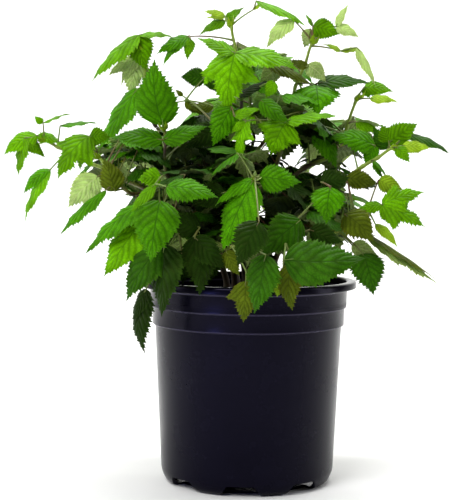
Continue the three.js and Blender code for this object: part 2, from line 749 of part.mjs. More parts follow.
// Shoots first, so that every leaf can keep clear of them.
const masses = MASSES.map((row) => {
  const carrier = limbs.get(row.limb);
  const out = carrier.path.along(1);
  const start = carrier.path.at(1).addScaledVector(out, GAP);
  const end = seen(...row.end);
  const span = start.distanceTo(end);
  const path = curve(
    start,
    start.clone().addScaledVector(out, SHOOT_RUN * span),
    start.clone().lerp(end, SHOOT_HANDLE).addScaledVector(UP, SHOOT_CREST * span),
    end,
  );
  const taper = STEM_TIP_RADIUS - STEM_RADIUS;
  const stem = limb(path, STEM_STEPS, STEM_SIDES, (t) => STEM_RADIUS + taper * t);
  place(row.name, stem, true);
  return { ...row, path, hubs: [], parts: [stem] };
});

// The leaves with a place of their own; one that would touch a neighbour is set a little nearer
// or farther along the line of sight.
for (const mass of masses) {
  for (const [X, Z, y, blades] of mass.leaves) {
    let done = false;
    for (let k = 0; k < DEPTH_TRIES && !done; k += 1) {
      const shift = DEPTH_STEP * Math.ceil(k / 2) * (k % 2 ? -1 : 1);
      const hub = seen(X, Z, y + shift);
      const leaf = compoundLeaf(springPoint(mass, hub), hub, blades);
      if (isClear(mass.name, leaf)) {
        place(mass.name, leaf);
        mass.parts.push(leaf);
        mass.hubs.push(hub);
        done = true;
      }
    }
  }
}

// Whether a solid keeps within the crown and out of the sky gaps.
function keepsWithin(solid) {
  const { vertProperties: at, numProp } = solid.getMesh();
  for (let i = 0; i < at.length; i += numProp) {
    const [x, y, z] = [at[i], at[i + 1], at[i + 2]];
    const scale = VIEW_DISTANCE / (VIEW_DISTANCE + y);
    const X = x * scale;
    const Z = LEVEL_READING + (z - VIEW_HEIGHT) * scale;
    const turn = Math.atan2(X - CROWN_MIDDLE.X, Z - CROWN_MIDDLE.Z) / CROWN_SECTOR;
    const step = Math.floor(turn);
    const count = CROWN_REACH.length;
    const near = CROWN_REACH[(step + count) % count];
    const next = CROWN_REACH[(step + 1 + count) % count];
    const limit = near + (next - near) * (turn - step);
    const radius = Math.hypot(X - CROWN_MIDDLE.X, Z - CROWN_MIDDLE.Z);
    const share = (radius / limit) ** 3 + Math.abs(y / CROWN_DEPTH) ** 3;
    if (radius > limit || share > CROWN_FULLNESS || z < CROWN_FLOOR) return false;
    if (SKY_GAPS.some(([gx, gz, a, b]) => Math.hypot((X - gx) / a, (Z - gz) / b) < 1)) return false;
  }
  return true;
}

// Further leaves by the seeded rule: set round the shoot by the golden angle, three blades each,
// drooping from the hub. Those of a shoot that has placed leaves stay on its far side.
const GOLDEN_ANGLE = 2.39996;
const FULL_TURN = 2 * Math.PI;
const FILL_TRIES = 60;
const BLADE_SPREAD = 1.15;
const NOTCH_REACH = 2.2;
const WIDEST_SHARE = 0.44;

// Values of the rule; a pair is the least value and the range above it.
const RULE = {
  shootShare: [0.12, 0.86],
  forward: 0.5,
  farSide: 0.35,
  size: [0.8, 0.4],
  petiole: [0.55, 0.5],
  rise: 0.25,
  leastRise: 0.01,
  droop: [0.25, 0.7],
  roll: [-0.4, 0.8],
  sideBlade: 0.86,
};

function ruleLeaf(mass, k, dice) {
  const roll = ([least, range]) => least + range * dice();
  const [first, run] = RULE.shootShare;
  const t = first + (run * (k + dice())) / mass.fill;
  const root = mass.path.at(t);
  const along = mass.path.along(t);
  const side = along.clone().cross(UP).normalize();
  const other = side.clone().cross(along);
  const turn = k * GOLDEN_ANGLE + FULL_TURN * dice();
  const out = side
    .multiplyScalar(Math.cos(turn))
    .addScaledVector(other, Math.sin(turn))
    .addScaledVector(along, RULE.forward);
  if (mass.leaves.length) out.y = Math.abs(out.y) + RULE.farSide;
  out.normalize();
  const size = mass.size * roll(RULE.size);
  const hub = root.clone().addScaledVector(out, size * roll(RULE.petiole));
  const level = vec(out.x, out.y, RULE.rise * out.z + RULE.leastRise).normalize();
  const blades = [-BLADE_SPREAD, 0, BLADE_SPREAD].map((spread) => {
    const heading = level.clone().applyAxisAngle(UP, spread);
    heading.z -= roll(RULE.droop);
    heading.normalize();
    const face = UP.clone().addScaledVector(heading, -UP.dot(heading)).normalize();
    face.applyAxisAngle(heading, roll(RULE.roll));
    return { heading, face, length: size * (spread ? RULE.sideBlade : 1) };
  });
  return bladeFan(root, hub, blades);
}

// A whole rule leaf as one closed solid: a four-sided petiole from its root to the hub, and the
// blades that share the hub, with a notch between neighbours.
function bladeFan(root, hub, blades) {
  const points = [];
  const triangles = [];
  const inward = hub.clone().sub(root).normalize();
  const right = inward.clone().cross(UP).normalize();
  const over = right.clone().cross(inward);
  const span = root.distanceTo(hub);
  const middle = root.clone().lerp(hub, 1 / 2).addScaledVector(UP, PETIOLE_CREST * span);
  const rings = [
    [root, PETIOLE_RADIUS],
    [middle, (PETIOLE_RADIUS + PETIOLE_TIP_RADIUS) / 2],
    [hub, PETIOLE_TIP_RADIUS],
  ];
  for (const [centre, radius] of rings) {
    for (const [across, above] of [[0, 1], [-1, 0], [0, -1], [1, 0]]) {
      points.push(
        centre
          .clone()
          .addScaledVector(right, across * radius)
          .addScaledVector(over, above * radius),
      );
    }
  }
  for (let i = 0; i < 8; i += 4) {
    for (let k = 0; k < 4; k += 1) {
      const [from, to] = [i + k, i + ((k + 1) % 4)];
      triangles.push([from, to + 4, to], [from, from + 4, to + 4]);
    }
  }
  triangles.push([0, 1, 2], [0, 2, 3]);
  const [top, backLeft, bottom, backRight] = [8, 9, 10, 11];
  const each = 6;
  const last = blades.length - 1;
  blades.forEach(({ heading, face, length }, i) => {
    const side = heading.clone().cross(face).normalize();
    const half = (RULE_BLADE_RATIO * length) / 2;
    const thick = BLADE_THICK + BLADE_THICK_SHARE * length;
    const between = heading.clone().add((blades[i + 1] ?? blades[i]).heading).normalize();
    const rise = BLADE_ARCH * length;
    const at = (share, across, above) =>
      hub
        .clone()
        .addScaledVector(heading, share * length)
        .addScaledVector(side, across)
        .addScaledVector(face, above);
    points.push(
      at(WIDEST_SHARE, half, rise - BLADE_FOLD * half),
      at(1, 0, 0),
      at(WIDEST_SHARE, -half, rise - BLADE_FOLD * half),
      at(WIDEST_SHARE, 0, rise + thick / 2),
      at(WIDEST_SHARE, 0, rise - thick / 2),
      hub.clone().addScaledVector(between, NOTCH_REACH),
    );
    const first = 12 + each * i;
    const [edge, tip, far, ribTop, ribUnder, notch] = [0, 1, 2, 3, 4, 5].map((k) => first + k);
    for (const [core, rib, turned] of [[top, ribTop, false], [bottom, ribUnder, true]]) {
      const add = (...t) => triangles.push(turned ? [t[0], t[2], t[1]] : t);
      add(core, edge, rib);
      add(rib, edge, tip);
      add(rib, tip, far);
      add(core, rib, far);
      if (i === 0) add(core, backRight, edge);
      if (i === last) add(core, far, backLeft);
      else add(core, far, notch);
      if (i < last) add(core, notch, edge + each);
    }
  });
  return facets(points.slice(0, points.length - 1), triangles);
}

for (const mass of masses) {
  const rolls = dice(mass.seed);
  let set = 0;
  for (let k = 0; k < mass.fill * FILL_TRIES && set < mass.fill; k += 1) {
    const leaf = ruleLeaf(mass, set, rolls);
    if (keepsWithin(leaf) && isClear(mass.name, leaf, true)) {
      place(mass.name, leaf);
      mass.parts.push(leaf);
      set += 1;
    }
  }
}

const group = new THREE.Group();
group.name = "potted_thornless_bramble";

function addNode(name, solid, colour, roughness) {
  const material = new THREE.MeshStandardMaterial({ color: colour, roughness, metalness: 0 });
  const mesh = new THREE.Mesh(toGeometry(solid), material);
  mesh.name = name;
  group.add(mesh);
}

addNode("pot", pot, "#16141f", 0.45);
addNode("potting_soil", soil, "#1c1510", 0.95);
for (const [name, { solid }] of limbs) addNode(name, solid, "#5a4326", 0.7);
for (const mass of masses) {
  addNode(mass.name, settle(Manifold.union(mass.parts)), mass.colour, 0.6);
}

export default group;
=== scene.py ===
"""Young thornless bramble in a black nursery pot, dressed over its fixed frame.

Sizes in the tables and settings are millimetres; meshes are built in metres.
"""

import math
import random
from collections import namedtuple

import bmesh
import bpy
import numpy as np
from bpy.props import FloatProperty, FloatVectorProperty, IntProperty, PointerProperty
from mathutils import Matrix, Quaternion, Vector


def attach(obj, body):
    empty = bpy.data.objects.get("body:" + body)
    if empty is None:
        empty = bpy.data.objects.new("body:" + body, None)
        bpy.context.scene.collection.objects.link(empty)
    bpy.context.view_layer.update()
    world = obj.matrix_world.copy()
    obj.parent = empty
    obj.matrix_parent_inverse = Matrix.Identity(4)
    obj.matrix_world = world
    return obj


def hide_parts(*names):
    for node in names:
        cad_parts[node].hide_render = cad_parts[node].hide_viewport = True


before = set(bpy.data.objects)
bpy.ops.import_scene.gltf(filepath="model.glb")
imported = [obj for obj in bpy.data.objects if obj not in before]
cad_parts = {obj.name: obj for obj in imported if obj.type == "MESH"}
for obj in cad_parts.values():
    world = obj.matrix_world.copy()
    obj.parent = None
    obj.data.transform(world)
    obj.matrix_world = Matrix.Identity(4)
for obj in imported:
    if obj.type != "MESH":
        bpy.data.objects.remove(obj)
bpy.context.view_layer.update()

bl_info = {
    "name": "Potted thornless bramble",
    "version": (1, 0, 0),
    "blender": (4, 5, 0),
    "location": "View3D > Sidebar > Bramble",
    "description": "Builds a potted bramble: pot, soil, canes, leaf stalks, leaves and a stage",
    "category": "Object",
}

MM = 0.001
UP = Vector((0, 0, 1))

# The plant's rule: limbs, shoots and compound leaves, as places seen from the front

VIEW_DISTANCE = 1100
VIEW_HEIGHT = 255
# Reading, on the scale of the places below, that lies level with the eye
LEVEL_READING = 257
SOIL_TOP = 150
GAP = 0.3

# name: (foot x, y), tip (X, Z, y), lift
CANES = {
    "cane_left": ((-17, -3), (-131, 261, -4), 0.5),
    "cane_top_left": ((-11, 9), (-76, 290, 10), 0.5),
    "cane_centre": ((-3, 3), (-7, 300, 4), 0.4),
    "cane_top_right": ((8, 7), (31, 302, 2), 0.4),
    "cane_right": ((16, -5), (97, 263, -30), 0.5),
    "cane_front": ((1, -13), (-3, 224, -50), 0.5),
    "cane_back_left": ((-9, 19), (-62, 240, 72), 0.5),
    "cane_back_right": ((11, 19), (58, 244, 74), 0.5),
}

# name: parent cane, share of its length, tip (X, Z, y)
LATERALS = {
    "lateral_left_front": ("cane_left", 0.5, (-94, 236, -38)),
    "lateral_left_low": ("cane_left", 0.3, (-56, 206, -62)),
    "lateral_left_upper": ("cane_top_left", 0.5, (-62, 246, -24)),
    "lateral_middle": ("cane_centre", 0.55, (9, 276, -18)),
    "lateral_right_upper": ("cane_top_right", 0.5, (63, 266, 8)),
    "lateral_right_low": ("cane_right", 0.42, (64, 208, -42)),
    "lateral_front_right": ("cane_front", 0.4, (16, 198, -58)),
    "lateral_front_low": ("cane_front", 0.3, (-16, 186, -60)),
    "lateral_back_top": ("cane_centre", 0.4, (2, 276, 52)),
    "lateral_back_upper": ("cane_top_left", 0.6, (-34, 258, 34)),
    "lateral_back_left_low": ("cane_back_left", 0.4, (-78, 206, 56)),
    "lateral_back_right_low": ("cane_back_right", 0.4, (72, 212, 60)),
    "lateral_back_middle": ("cane_back_left", 0.3, (0, 214, 92)),
}

# How green the bark is, from a limb's or shoot's root to its end; 0 is ripe brown
YOUTH = {"cane_right": (0.2, 0.9), "foliage_right_outer": (0.8, 1), "foliage_right_upper": (0.6, 0.8)}
CANE_YOUTH = (0, 0.35)
LATERAL_YOUTH = (0.1, 0.4)
SHOOT_YOUTH = (0.2, 0.5)

# name: limb, end (X, Z, y), rule leaves, their blade length, seed, placed leaves.
# A placed leaf: hub (X, Z, y), tone, blades (clock, reach, lean, wide, stalk, lobes).
#   clock: heading in degrees as seen from the front, 0 up and 90 to the right
#   reach: visible length; lean: degrees toward the viewer; wide: visible width, under 0 where the
#   underside shows; stalk: length of its own little stalk; lobes: depth of its side lobes, 0 to 1
MASSES = {
    "foliage_far_left": ("cane_left", (-168, 279, -6), 0, 26, 11, [
        ((-174, 283, -6), "bright", [(241, 31, 5, 15), (109, 22, 0, 9)]),
        ((-184, 281, -8), "bright", [(190, 32, 0, 12), (132, 23, 0, 11)]),
        ((-169, 293, -4), "bright", [(70, 25, 0, 3), (310, 9, 0, 6)]),
        ((-155, 291, -8), "mid", [(85, 31, 0, 5)]),
        ((-163, 255, -10), "mid", [(230, 29, 0, 12)]),
        ((-163, 256, -10), "bright", [(206, 44, 10, 11, 3)]),
    ]),
    "foliage_left_front": ("lateral_left_front", (-124, 266, -42), 2, 34, 52, [
        ((-131, 283, -40), "bright", [(215, 42, 10, 25, 0, 0.6), (197, 28, 0, 15), (94, 16, 0, 14)]),
        ((-110, 238, -50), "olive", [(341, 27, 0, 19)]),
        ((-124, 250, -46), "pale", [(224, 34, 0, 22), (204, 26, 10, 15)]),
        ((-115, 241, -52), "mid", [(226, 50, 0, 11, 3)]),
    ]),
    "foliage_left_low": ("lateral_left_low", (-78, 222, -92), 4, 38, 13, [
        ((-74, 241, -84), "mid", [(229, 61, 0, 12, 14)]),
        ((-89, 213, -80), "bright", [(213, 49, 10, 26), (250, 27, 0, 12)]),
        ((-73, 231, -104), "mid", [(188, 46, 10, 34)]),
        ((-69, 195, -94), "dark", [(214, 52, 0, 27)]),
        ((-69, 195, -95), "deep", [(182, 54, 8, 25)]),
        ((-84, 158, -72), "deep", [(183, 50, 0, 14), (203, 27, 0, 10)]),
        ((-55, 190, -46), "deep", [(178, 26, 5, 22), (120, 20, 5, 14)]),
    ]),
    "foliage_left_upper": ("lateral_left_upper", (-70, 288, -44), 4, 36, 14, [
        ((-71, 292, -48), "mid", [(353, 50, 12, 32)]),
        ((-71, 280, -56), "mid", [(271, 41, 0, 16), (72, 36, 0, 14)]),
        ((-72, 250, -84), "bright", [(262, 18, 0, 15)]),
        ((-77, 244, -88), "bright", [(222, 29, 0, 8)]),
        ((-68, 242, -92), "mid", [(101, 40, 10, 18)]),
    ]),
    "foliage_top_left": ("cane_top_left", (-88, 350, 2), 2, 30, 15, [
        ((-91, 365, 0), "bright", [(226, 55, 0, 17), (168, 29, -6, 22), (92, 28, 0, 5)]),
        ((-91, 347, 6), "pale", [(194, 31, 0, 22, 0, 0.6), (238, 30, 0, 13), (214, 27, 0, 9)]),
        ((-91, 322, -10), "mid", [(213, 61, 0, 21)]),
        ((-53, 312, -8), "olive", [(126, 19, 0, 8)]),
        ((-30, 308, -12), "olive", [(262, 20, 0, 10)]),
        ((-37, 331, -6), "dark", [(271, 20, 0, 16), (55, 14, 0, 10), (137, 19, 0, 10)]),
    ]),
    "foliage_top_centre": ("cane_centre", (-16, 373, 0), 2, 30, 16, [
        ((-13, 351, -28), "bright", [
            (292, 32, 0, 11), (187, 48, 12, 33, 0, 0.5), (224, 36, -4, 16), (102, 51, 10, 17),
        ]),
        ((-21, 377, 5), "bright", [(242, 24, 0, 9), (55, 19, 0, 8)]),
        ((-21, 380, 6), "young", [(286, 18, 0, 7), (266, 16, 0, 5)]),
        ((-50, 364, 3), "mid", [(242, 30, 10, 10), (222, 32, 10, 9)]),
        ((-49, 362, -4), "bright", [(190, 17, 0, 9)]),
        ((19, 329, -34), "bright", [(206, 15, 0, 10)]),
        ((2, 386, 0), "young", [(58, 10, 0, 3)]),
        ((4, 393, 0), "bright", [(115, 47, 0, 8)]),
        ((13, 343, -11), "olive", [(115, 43, 0, 8)]),
        ((22, 340, -8), "pale", [(226, 20, 0, 15)]),
        ((-10, 316, -16), "deep", [(64, 29, 0, 8)]),
    ]),
    "foliage_top_right": ("cane_top_right", (50, 360, -4), 2, 28, 17, [
        ((50, 373, -5), "bright", [(106, 23, 0, 17), (325, 12, 0, 4)]),
        ((48, 371, -2), "pale", [(198, 16, 0, 12)]),
        ((34, 378, -2), "pale", [(223, 31, 0, 13)]),
        ((69, 373, -5), "pale", [(114, 21, 0, 10), (29, 20, 0, 6)]),
        ((73, 353, -8), "young", [(290, 16, 0, 5), (88, 17, 0, 5)]),
        ((86, 356, -10), "pale", [(152, 34, 0, 10)]),
        ((46, 342, -16), "pale", [(132, 20, 0, 14)]),
        ((46, 340, -18), "olive", [(292, 15, 0, 8)]),
        ((53, 326, -6), "mid", [(176, 24, 45, 38)]),
        ((54, 327, -8), "dark", [(89, 43, 0, 13)]),
    ]),
    "foliage_right_upper": ("lateral_right_upper", (86, 314, 4), 4, 34, 18, [
        ((92, 324, 5), "bright", [(96, 24, 0, 13), (150, 10, 0, 7)]),
        ((97, 315, -3), "young", [(95, 23, 0, 8)]),
        ((86, 296, -12), "bright", [(117, 24, 0, 10), (98, 22, 0, -6)]),
        ((102, 277, -24), "mid", [(280, 39, 5, 18), (205, 18, 5, 13)]),
        ((56, 293, -14), "mid", [(156, 37, 10, 18)]),
    ]),
    "foliage_right_outer": ("cane_right", (116, 275, -32), 0, 26, 19, [
        ((113, 280, -28), "bright", [(57, 27, 0, 19), (335, 15, 0, 13), (98, 19, 0, 8)]),
        ((128, 286, -24), "dark", [(113, 38, 0, 8)]),
        ((113, 275, -18), "dark", [(322, 21, 0, 15)]),
        ((124, 277, -36), "young", [(92, 22, 0, 9)]),
        ((119, 276, -40), "bright", [(138, 16, 0, 10)]),
        ((101, 265, -40), "mid", [(143, 19, 0, 4), (152, 18, 0, 6)]),
    ]),
    "foliage_right_low": ("lateral_right_low", (98, 222, -54), 4, 34, 20, [
        ((79, 250, -48), "olive", [(99, 25, 0, 15)]),
        ((105, 249, -44), "young", [(112, 21, 0, 14)]),
        ((108, 229, -56), "bright", [
            (72, 34, 0, 15, 0, 0.5), (115, 37, 8, 17, 0, 0.6), (142, 22, 0, 12), (255, 21, 0, 9),
        ]),
        ((103, 213, -56), "young", [(135, 25, 0, 7)]),
        ((91, 207, -48), "pale", [(123, 68, 0, 4, 4), (131, 30, 0, 3, 11)]),
        ((92, 209, -50), "olive", [(123, 64, 0, 3, 6)]),
        ((93, 189, -62), "dark", [(165, 33, 5, 26)]),
        ((84, 196, -56), "pale", [(112, 22, 0, 13)]),
        ((78, 221, -74), "olive", [(133, 30, 8, 23)]),
    ]),
    "foliage_front_right": ("lateral_front_right", (30, 196, -98), 3, 36, 21, [
        ((29, 183, -112), "dark", [(87, 59, 12, 34)]),
        ((36, 181, -102), "olive", [(181, 36, 0, 19)]),
        ((28, 173, -98), "young", [(192, 19, 0, 15)]),
        ((66, 243, -82), "mid", [(186, 27, 15, 25)]),
        ((58, 247, -74), "deep", [(80, 22, 10, 18)]),
        ((42, 216, -92), "dark", [(228, 39, 10, 28)]),
        ((50, 208, -84), "deep", [(110, 26, 10, 18)]),
    ]),
    "foliage_front_centre": ("cane_front", (4, 250, -78), 3, 38, 22, [
        ((2, 246, -82), "mid", [(203, 56, 8, 27)]),
        ((8, 251, -80), "mid", [(97, 32, 5, 21), (236, 38, 0, 8, 3)]),
        ((8, 214, -122), "deep", [(206, 35, 10, 25)]),
        ((-20, 238, -70), "deep", [(255, 30, 10, 20)]),
    ]),
    "foliage_front_low": ("lateral_front_low", (-14, 194, -92), 3, 34, 23, [
        ((14, 187, -116), "dark", [(191, 44, 0, 25)]),
        ((-2, 173, -101), "olive", [(183, 31, 0, 20, 7, 0.5)]),
        ((-45, 201, -89), "deep", [(174, 44, 5, 23), (133, 33, 10, 20)]),
        ((-19, 190, -88), "olive", [(150, 21, 10, 14)]),
        ((-40, 209, -84), "deep", [(285, 28, 15, 18)]),
        ((-30, 189, -58), "deep", [(184, 24, 5, 20)]),
        ((38, 190, -52), "deep", [(176, 22, 5, 20)]),
    ]),
    "foliage_middle": ("lateral_middle", (18, 300, -38), 3, 34, 24, [
        ((29, 296, -40), "bright", [(204, 29, 10, 30, 0, 0.3), (84, 42, 10, 8)]),
        ((8, 313, -46), "mid", [(127, 28, 0, 15)]),
        ((-3, 296, -50), "bright", [(188, 31, 10, 12, 0, 0.8), (230, 15, 0, 7)]),
        ((-13, 300, -48), "bright", [(75, 22, 0, 8)]),
        ((-15, 307, -42), "mid", [(205, 33, 15, 22)]),
        ((-26, 290, -34), "deep", [(238, 30, 15, 20)]),
        ((-55, 316, -8), "olive", [(310, 8, 0, 4)]),
    ]),
    "foliage_back_top": ("lateral_back_top", (-6, 340, 84), 8, 42, 31, []),
    "foliage_back_upper": ("lateral_back_upper", (-34, 290, 64), 5, 40, 37, []),
    "foliage_back_left": ("cane_back_left", (-108, 268, 112), 9, 42, 32, []),
    "foliage_back_right": ("cane_back_right", (88, 276, 112), 9, 42, 33, []),
    "foliage_back_left_low": ("lateral_back_left_low", (-100, 216, 88), 8, 40, 44, []),
    "foliage_back_right_low": ("lateral_back_right_low", (80, 226, 98), 8, 40, 35, []),
    "foliage_back_middle": ("lateral_back_middle", (-4, 226, 140), 8, 42, 36, []),
}

# Where the photo shows sky through the crown: X, Z and half sizes across and up, as seen
SKY_GAPS = [
    (-94, 293, 8, 9), (-59, 297, 9, 8), (-64, 325, 8, 18), (-38, 320, 12, 8), (-4, 312, 9, 4),
    (-53, 267, 8, 4), (-104, 255, 6, 7), (-112, 227, 9, 11), (-116, 244, 10, 7), (31, 324, 10, 8),
    (74, 303, 9, 7), (3, 368, 10, 14), (30, 272, 6, 6), (36, 265, 7, 5), (56, 256, 7, 5),
    (6, 278, 4, 6), (-9, 281, 5, 6), (9, 222, 5, 8), (59, 209, 4, 5), (46, 202, 6, 4),
    (80, 266, 5, 5), (88, 262, 6, 6), (98, 256, 5, 6), (99, 237, 6, 5), (88, 240, 8, 4),
]
# The crown's middle as seen, its reach from there at equal turns from straight up, and its depth
CROWN_MIDDLE = (-10, 250)
CROWN_REACH = [128, 108, 102, 122, 126, 119, 98, 78, 75, 80, 112, 126, 134, 116, 106, 86]
CROWN_DEPTH = 172
# How boxy the crown is from front to back, and how far past that form leaves may stand
CROWN_POWER = 3
CROWN_LIMIT = 1.15
# Least height of a rule leaf beyond the rim and within it
CROWN_FLOOR = 172
SHADE_FLOOR = 160
RIM_CLEAR = 70

# Shares of a limb's span that its curve rises from the root, is drawn back from the tip and arches
CANE_RISE = 0.8
CANE_ARCH = 0.12
LATERAL_RISE = 0.3
LATERAL_ARCH = 0.1
TIP_PULL = 0.3
# How far a lateral keeps its cane's heading where it leaves it
CANE_HEADING = 0.35
# The same for shoots and leaf stalks, whose curves are drawn two thirds of the way to their ends
SHOOT_LEAD = 0.35
SHOOT_ARCH = 0.05
STALK_ARCH = 0.08
TWO_THIRDS = 0.66

# A leaf stalk springs from that share of the shoot, or that earlier leaf's hub, where it costs
# least: its length, less where it heads the shoot's way, and more off a hub
SPRING_SHARES = [0.1 + 0.06 * k for k in range(16)]
HEADING_FAVOUR = 0.3
HUB_COST = 1.4
HUB_EXTRA = 12

# Full width of a blade as a share of its length, and the width that even an edge-on blade keeps
BLADE_RATIO = 0.64
FOLDED_SHARE = 0.45
# Greatest roll, in radians, of a placed blade, and how much of its bow an edge-on one keeps
BLADE_ROLL = 0.12
LEAST_BOW = 0.1
# Where a blade is widest, as a share of its length
WIDEST_SHARE = 0.4

# Blades of a rule leaf: turn from the leaf's heading, and length as a share of the leaf's size
THREE_BLADES = ((-1.15, 0.86), (0, 1), (1.15, 0.86))
FIVE_BLADES = ((-2, 0.66), (-1, 0.86), (0, 1), (1, 0.86), (2, 0.66))
# Size from which a rule leaf may bear five blades, and how often it does
FIVE_BLADE_SIZE = 30
FIVE_BLADE_CHANCE = 0.45
RULE_BLADE_RATIO = 0.74
RULE_ROLL = 0.4
# Small stalks of its end blade, as a share of its size, and of its side blades
END_STALK = 0.16
SIDE_STALK = 1
# How far rule leaves lean along their shoot, and to the back where placed leaves fill the front
FORWARD_LEAN = 0.5
BACKWARD_LEAN = 0.35
GOLDEN_ANGLE = 2.39996
# A rule leaf's stalk: range of its length as a share of the leaf's size; then the share of its rise
# that the blades keep, their least rise, and the range of their droop
RULE_STALK = (0.55, 1.05)
KEPT_RISE = 0.25
LEAST_RISE = 0.01
RULE_DROOP = (0.35, 1.1)
# Range of the throw that turns a rule leaf round its shoot, close to a full turn
THROWN_TURN = 6.28

# Tones of rule leaves by their throw, from the middle of the crown outwards, and the rest
TONE_THROWS = (("deep", 0.48), ("dark", 0.66), ("mid", 0.9))
OUTER_BRIGHT_CHANCE = 0.85
SHADE_DEEP_CHANCE = 0.7
# The crown's heart, the level from which leaves count as high, and the size that both are set
# against; then the shares of a tone's throw that are chance, distance from the heart, and height
CROWN_HEART = (-10, 0, 230)
CROWN_LEVEL = 250
CROWN_SCALE = 130
CHANCE_SHARE = 0.6
OUTWARD_SHARE = 0.5
HEIGHT_SHARE = 0.25
# Length of a placed blade from which it gets the fine grid
LARGE_BLADE = 18


def seen(place):
    """The point, in millimetres, at a place (X, Z, y) as it is seen from the front."""
    across, height, depth = place
    scale = (VIEW_DISTANCE + depth) / VIEW_DISTANCE
    return Vector((across * scale, depth, VIEW_HEIGHT + (height - LEVEL_READING) * scale))


class Path:
    """A curve that leaves a for b and comes into d from c."""

    def __init__(self, a, b, c, d):
        self.ends = (a, b, c, d)

    def at(self, t):
        a, b, c, d = self.ends
        s = 1 - t
        return a * s**3 + b * (3 * s * s * t) + c * (3 * s * t * t) + d * t**3

    def along(self, t):
        a, b, c, d = self.ends
        s = 1 - t
        return ((b - a) * s * s + (c - b) * (2 * s * t) + (d - c) * t * t).normalized()

    def length(self):
        points = [self.at(k / 12) for k in range(13)]
        return sum((q - p).length for p, q in zip(points, points[1:]))


def grow_limbs():
    """The path of every cane and lateral."""
    limbs = {}
    for name, ((x, y), tip, lift) in CANES.items():
        foot, end = Vector((x, y, SOIL_TOP + GAP)), seen(tip)
        span = (end - foot).length
        rise = foot + UP * (lift * span * CANE_RISE)
        limbs[name] = Path(foot, rise, end.lerp(foot, TIP_PULL) + UP * (CANE_ARCH * span), end)
    for name, (parent, share, tip) in LATERALS.items():
        root, end = limbs[parent].at(share), seen(tip)
        span = (end - root).length
        out = (end - root).normalized()
        heading = (out + limbs[parent].along(share) * CANE_HEADING).normalized()
        rise = root + heading * (LATERAL_RISE * span)
        limbs[name] = Path(root, rise, end.lerp(root, TIP_PULL) + UP * (LATERAL_ARCH * span), end)
    return limbs


def grow_shoot(limb, end_place):
    """The shoot that goes on from a limb's tip to its end."""
    out = limb.along(1)
    start, end = limb.at(1) + out * GAP, seen(end_place)
    span = (end - start).length
    lead = start + out * (SHOOT_LEAD * span)
    return Path(start, lead, start.lerp(end, TWO_THIRDS) + UP * (SHOOT_ARCH * span), end)


def stalk_path(root, hub):
    """A leaf stalk's path, arched a little upward."""
    middle = root.lerp(hub, 0.5) + UP * (STALK_ARCH * (hub - root).length)
    return Path(root, root.lerp(middle, TWO_THIRDS), middle.lerp(hub, 1 - TWO_THIRDS), hub)


def pose_blade(clock, reach, lean, wide):
    """Heading, upper side, length and width of a blade from how it is seen."""
    angle, tilt = math.radians(clock), math.radians(lean)
    length = reach / math.cos(tilt)
    heading = Vector(
        (math.sin(angle) * math.cos(tilt), -math.sin(tilt), math.cos(angle) * math.cos(tilt))
    )
    full = BLADE_RATIO * length
    # A blade that is seen narrow is partly folded along its midrib as well as turned.
    width = max(abs(wide), full * FOLDED_SHARE + abs(wide) * (1 - FOLDED_SHARE))
    viewer = Vector((0, -math.copysign(1, wide), 0))
    facing = (viewer - heading * viewer.dot(heading)).normalized()
    roll = math.acos(min(1, abs(wide) / width))
    sides = [Quaternion(heading, turn) @ facing for turn in (roll, -roll)]
    return heading, max(sides, key=lambda side: side.z), length, width


def spring_point(shoot, hubs, hub):
    """Where a leaf's stalk leaves the shoot or an earlier leaf's hub."""
    options = [((h - hub).length * HUB_COST + HUB_EXTRA, h) for h in hubs]
    for share in SPRING_SHARES:
        point = shoot.at(share)
        lean = (hub - point).normalized().dot(shoot.along(share))
        cost = (point - hub).length * (1 + HEADING_FAVOUR - HEADING_FAVOUR * lean)
        options.append((cost, point))
    return min(options, key=lambda option: option[0])[1]


# A blade's base, heading, upper side, length, width, depth of its lobes and how far it bows
Blade = namedtuple("Blade", "base heading face length width lobes bow")


class Leaf:
    """A compound leaf: its stalk's path, its tone, whether the table places it, and its blades."""

    def __init__(self, stalk, tone, placed):
        self.stalk = stalk
        self.tone = tone
        self.placed = placed
        self.blades = []

    def middles(self):
        return [blade.base + blade.heading * (0.5 * blade.length) for blade in self.blades]

    def outer_points(self):
        """Base, widest part's middle, tip and widest points of every blade."""
        points = []
        for blade in self.blades:
            side = blade.heading.cross(blade.face) * (0.5 * blade.width)
            middle = blade.base + blade.heading * (WIDEST_SHARE * blade.length)
            tip = blade.base + blade.heading * blade.length
            points.extend((blade.base, middle, tip, middle + side, middle - side))
        return points


def keeps_within(points):
    """Whether all points keep within the crown and out of the sky gaps."""
    for point in points:
        scale = VIEW_DISTANCE / (VIEW_DISTANCE + point.y)
        across = point.x * scale
        height = LEVEL_READING + (point.z - VIEW_HEIGHT) * scale
        off, above = across - CROWN_MIDDLE[0], height - CROWN_MIDDLE[1]
        count = len(CROWN_REACH)
        turn = math.atan2(off, above) / (math.tau / count)
        step = math.floor(turn)
        near, following = CROWN_REACH[step % count], CROWN_REACH[(step + 1) % count]
        limit = near + (following - near) * (turn - step)
        radius = math.hypot(off, above)
        share = (radius / limit) ** CROWN_POWER + abs(point.y / CROWN_DEPTH) ** CROWN_POWER
        floor = CROWN_FLOOR if math.hypot(point.x, point.y) > RIM_CLEAR else SHADE_FLOOR
        if radius > limit or share > CROWN_LIMIT or point.z < floor:
            return False
        if any(math.hypot((across - x) / a, (height - z) / b) < 1 for x, z, a, b in SKY_GAPS):
            return False
    return True


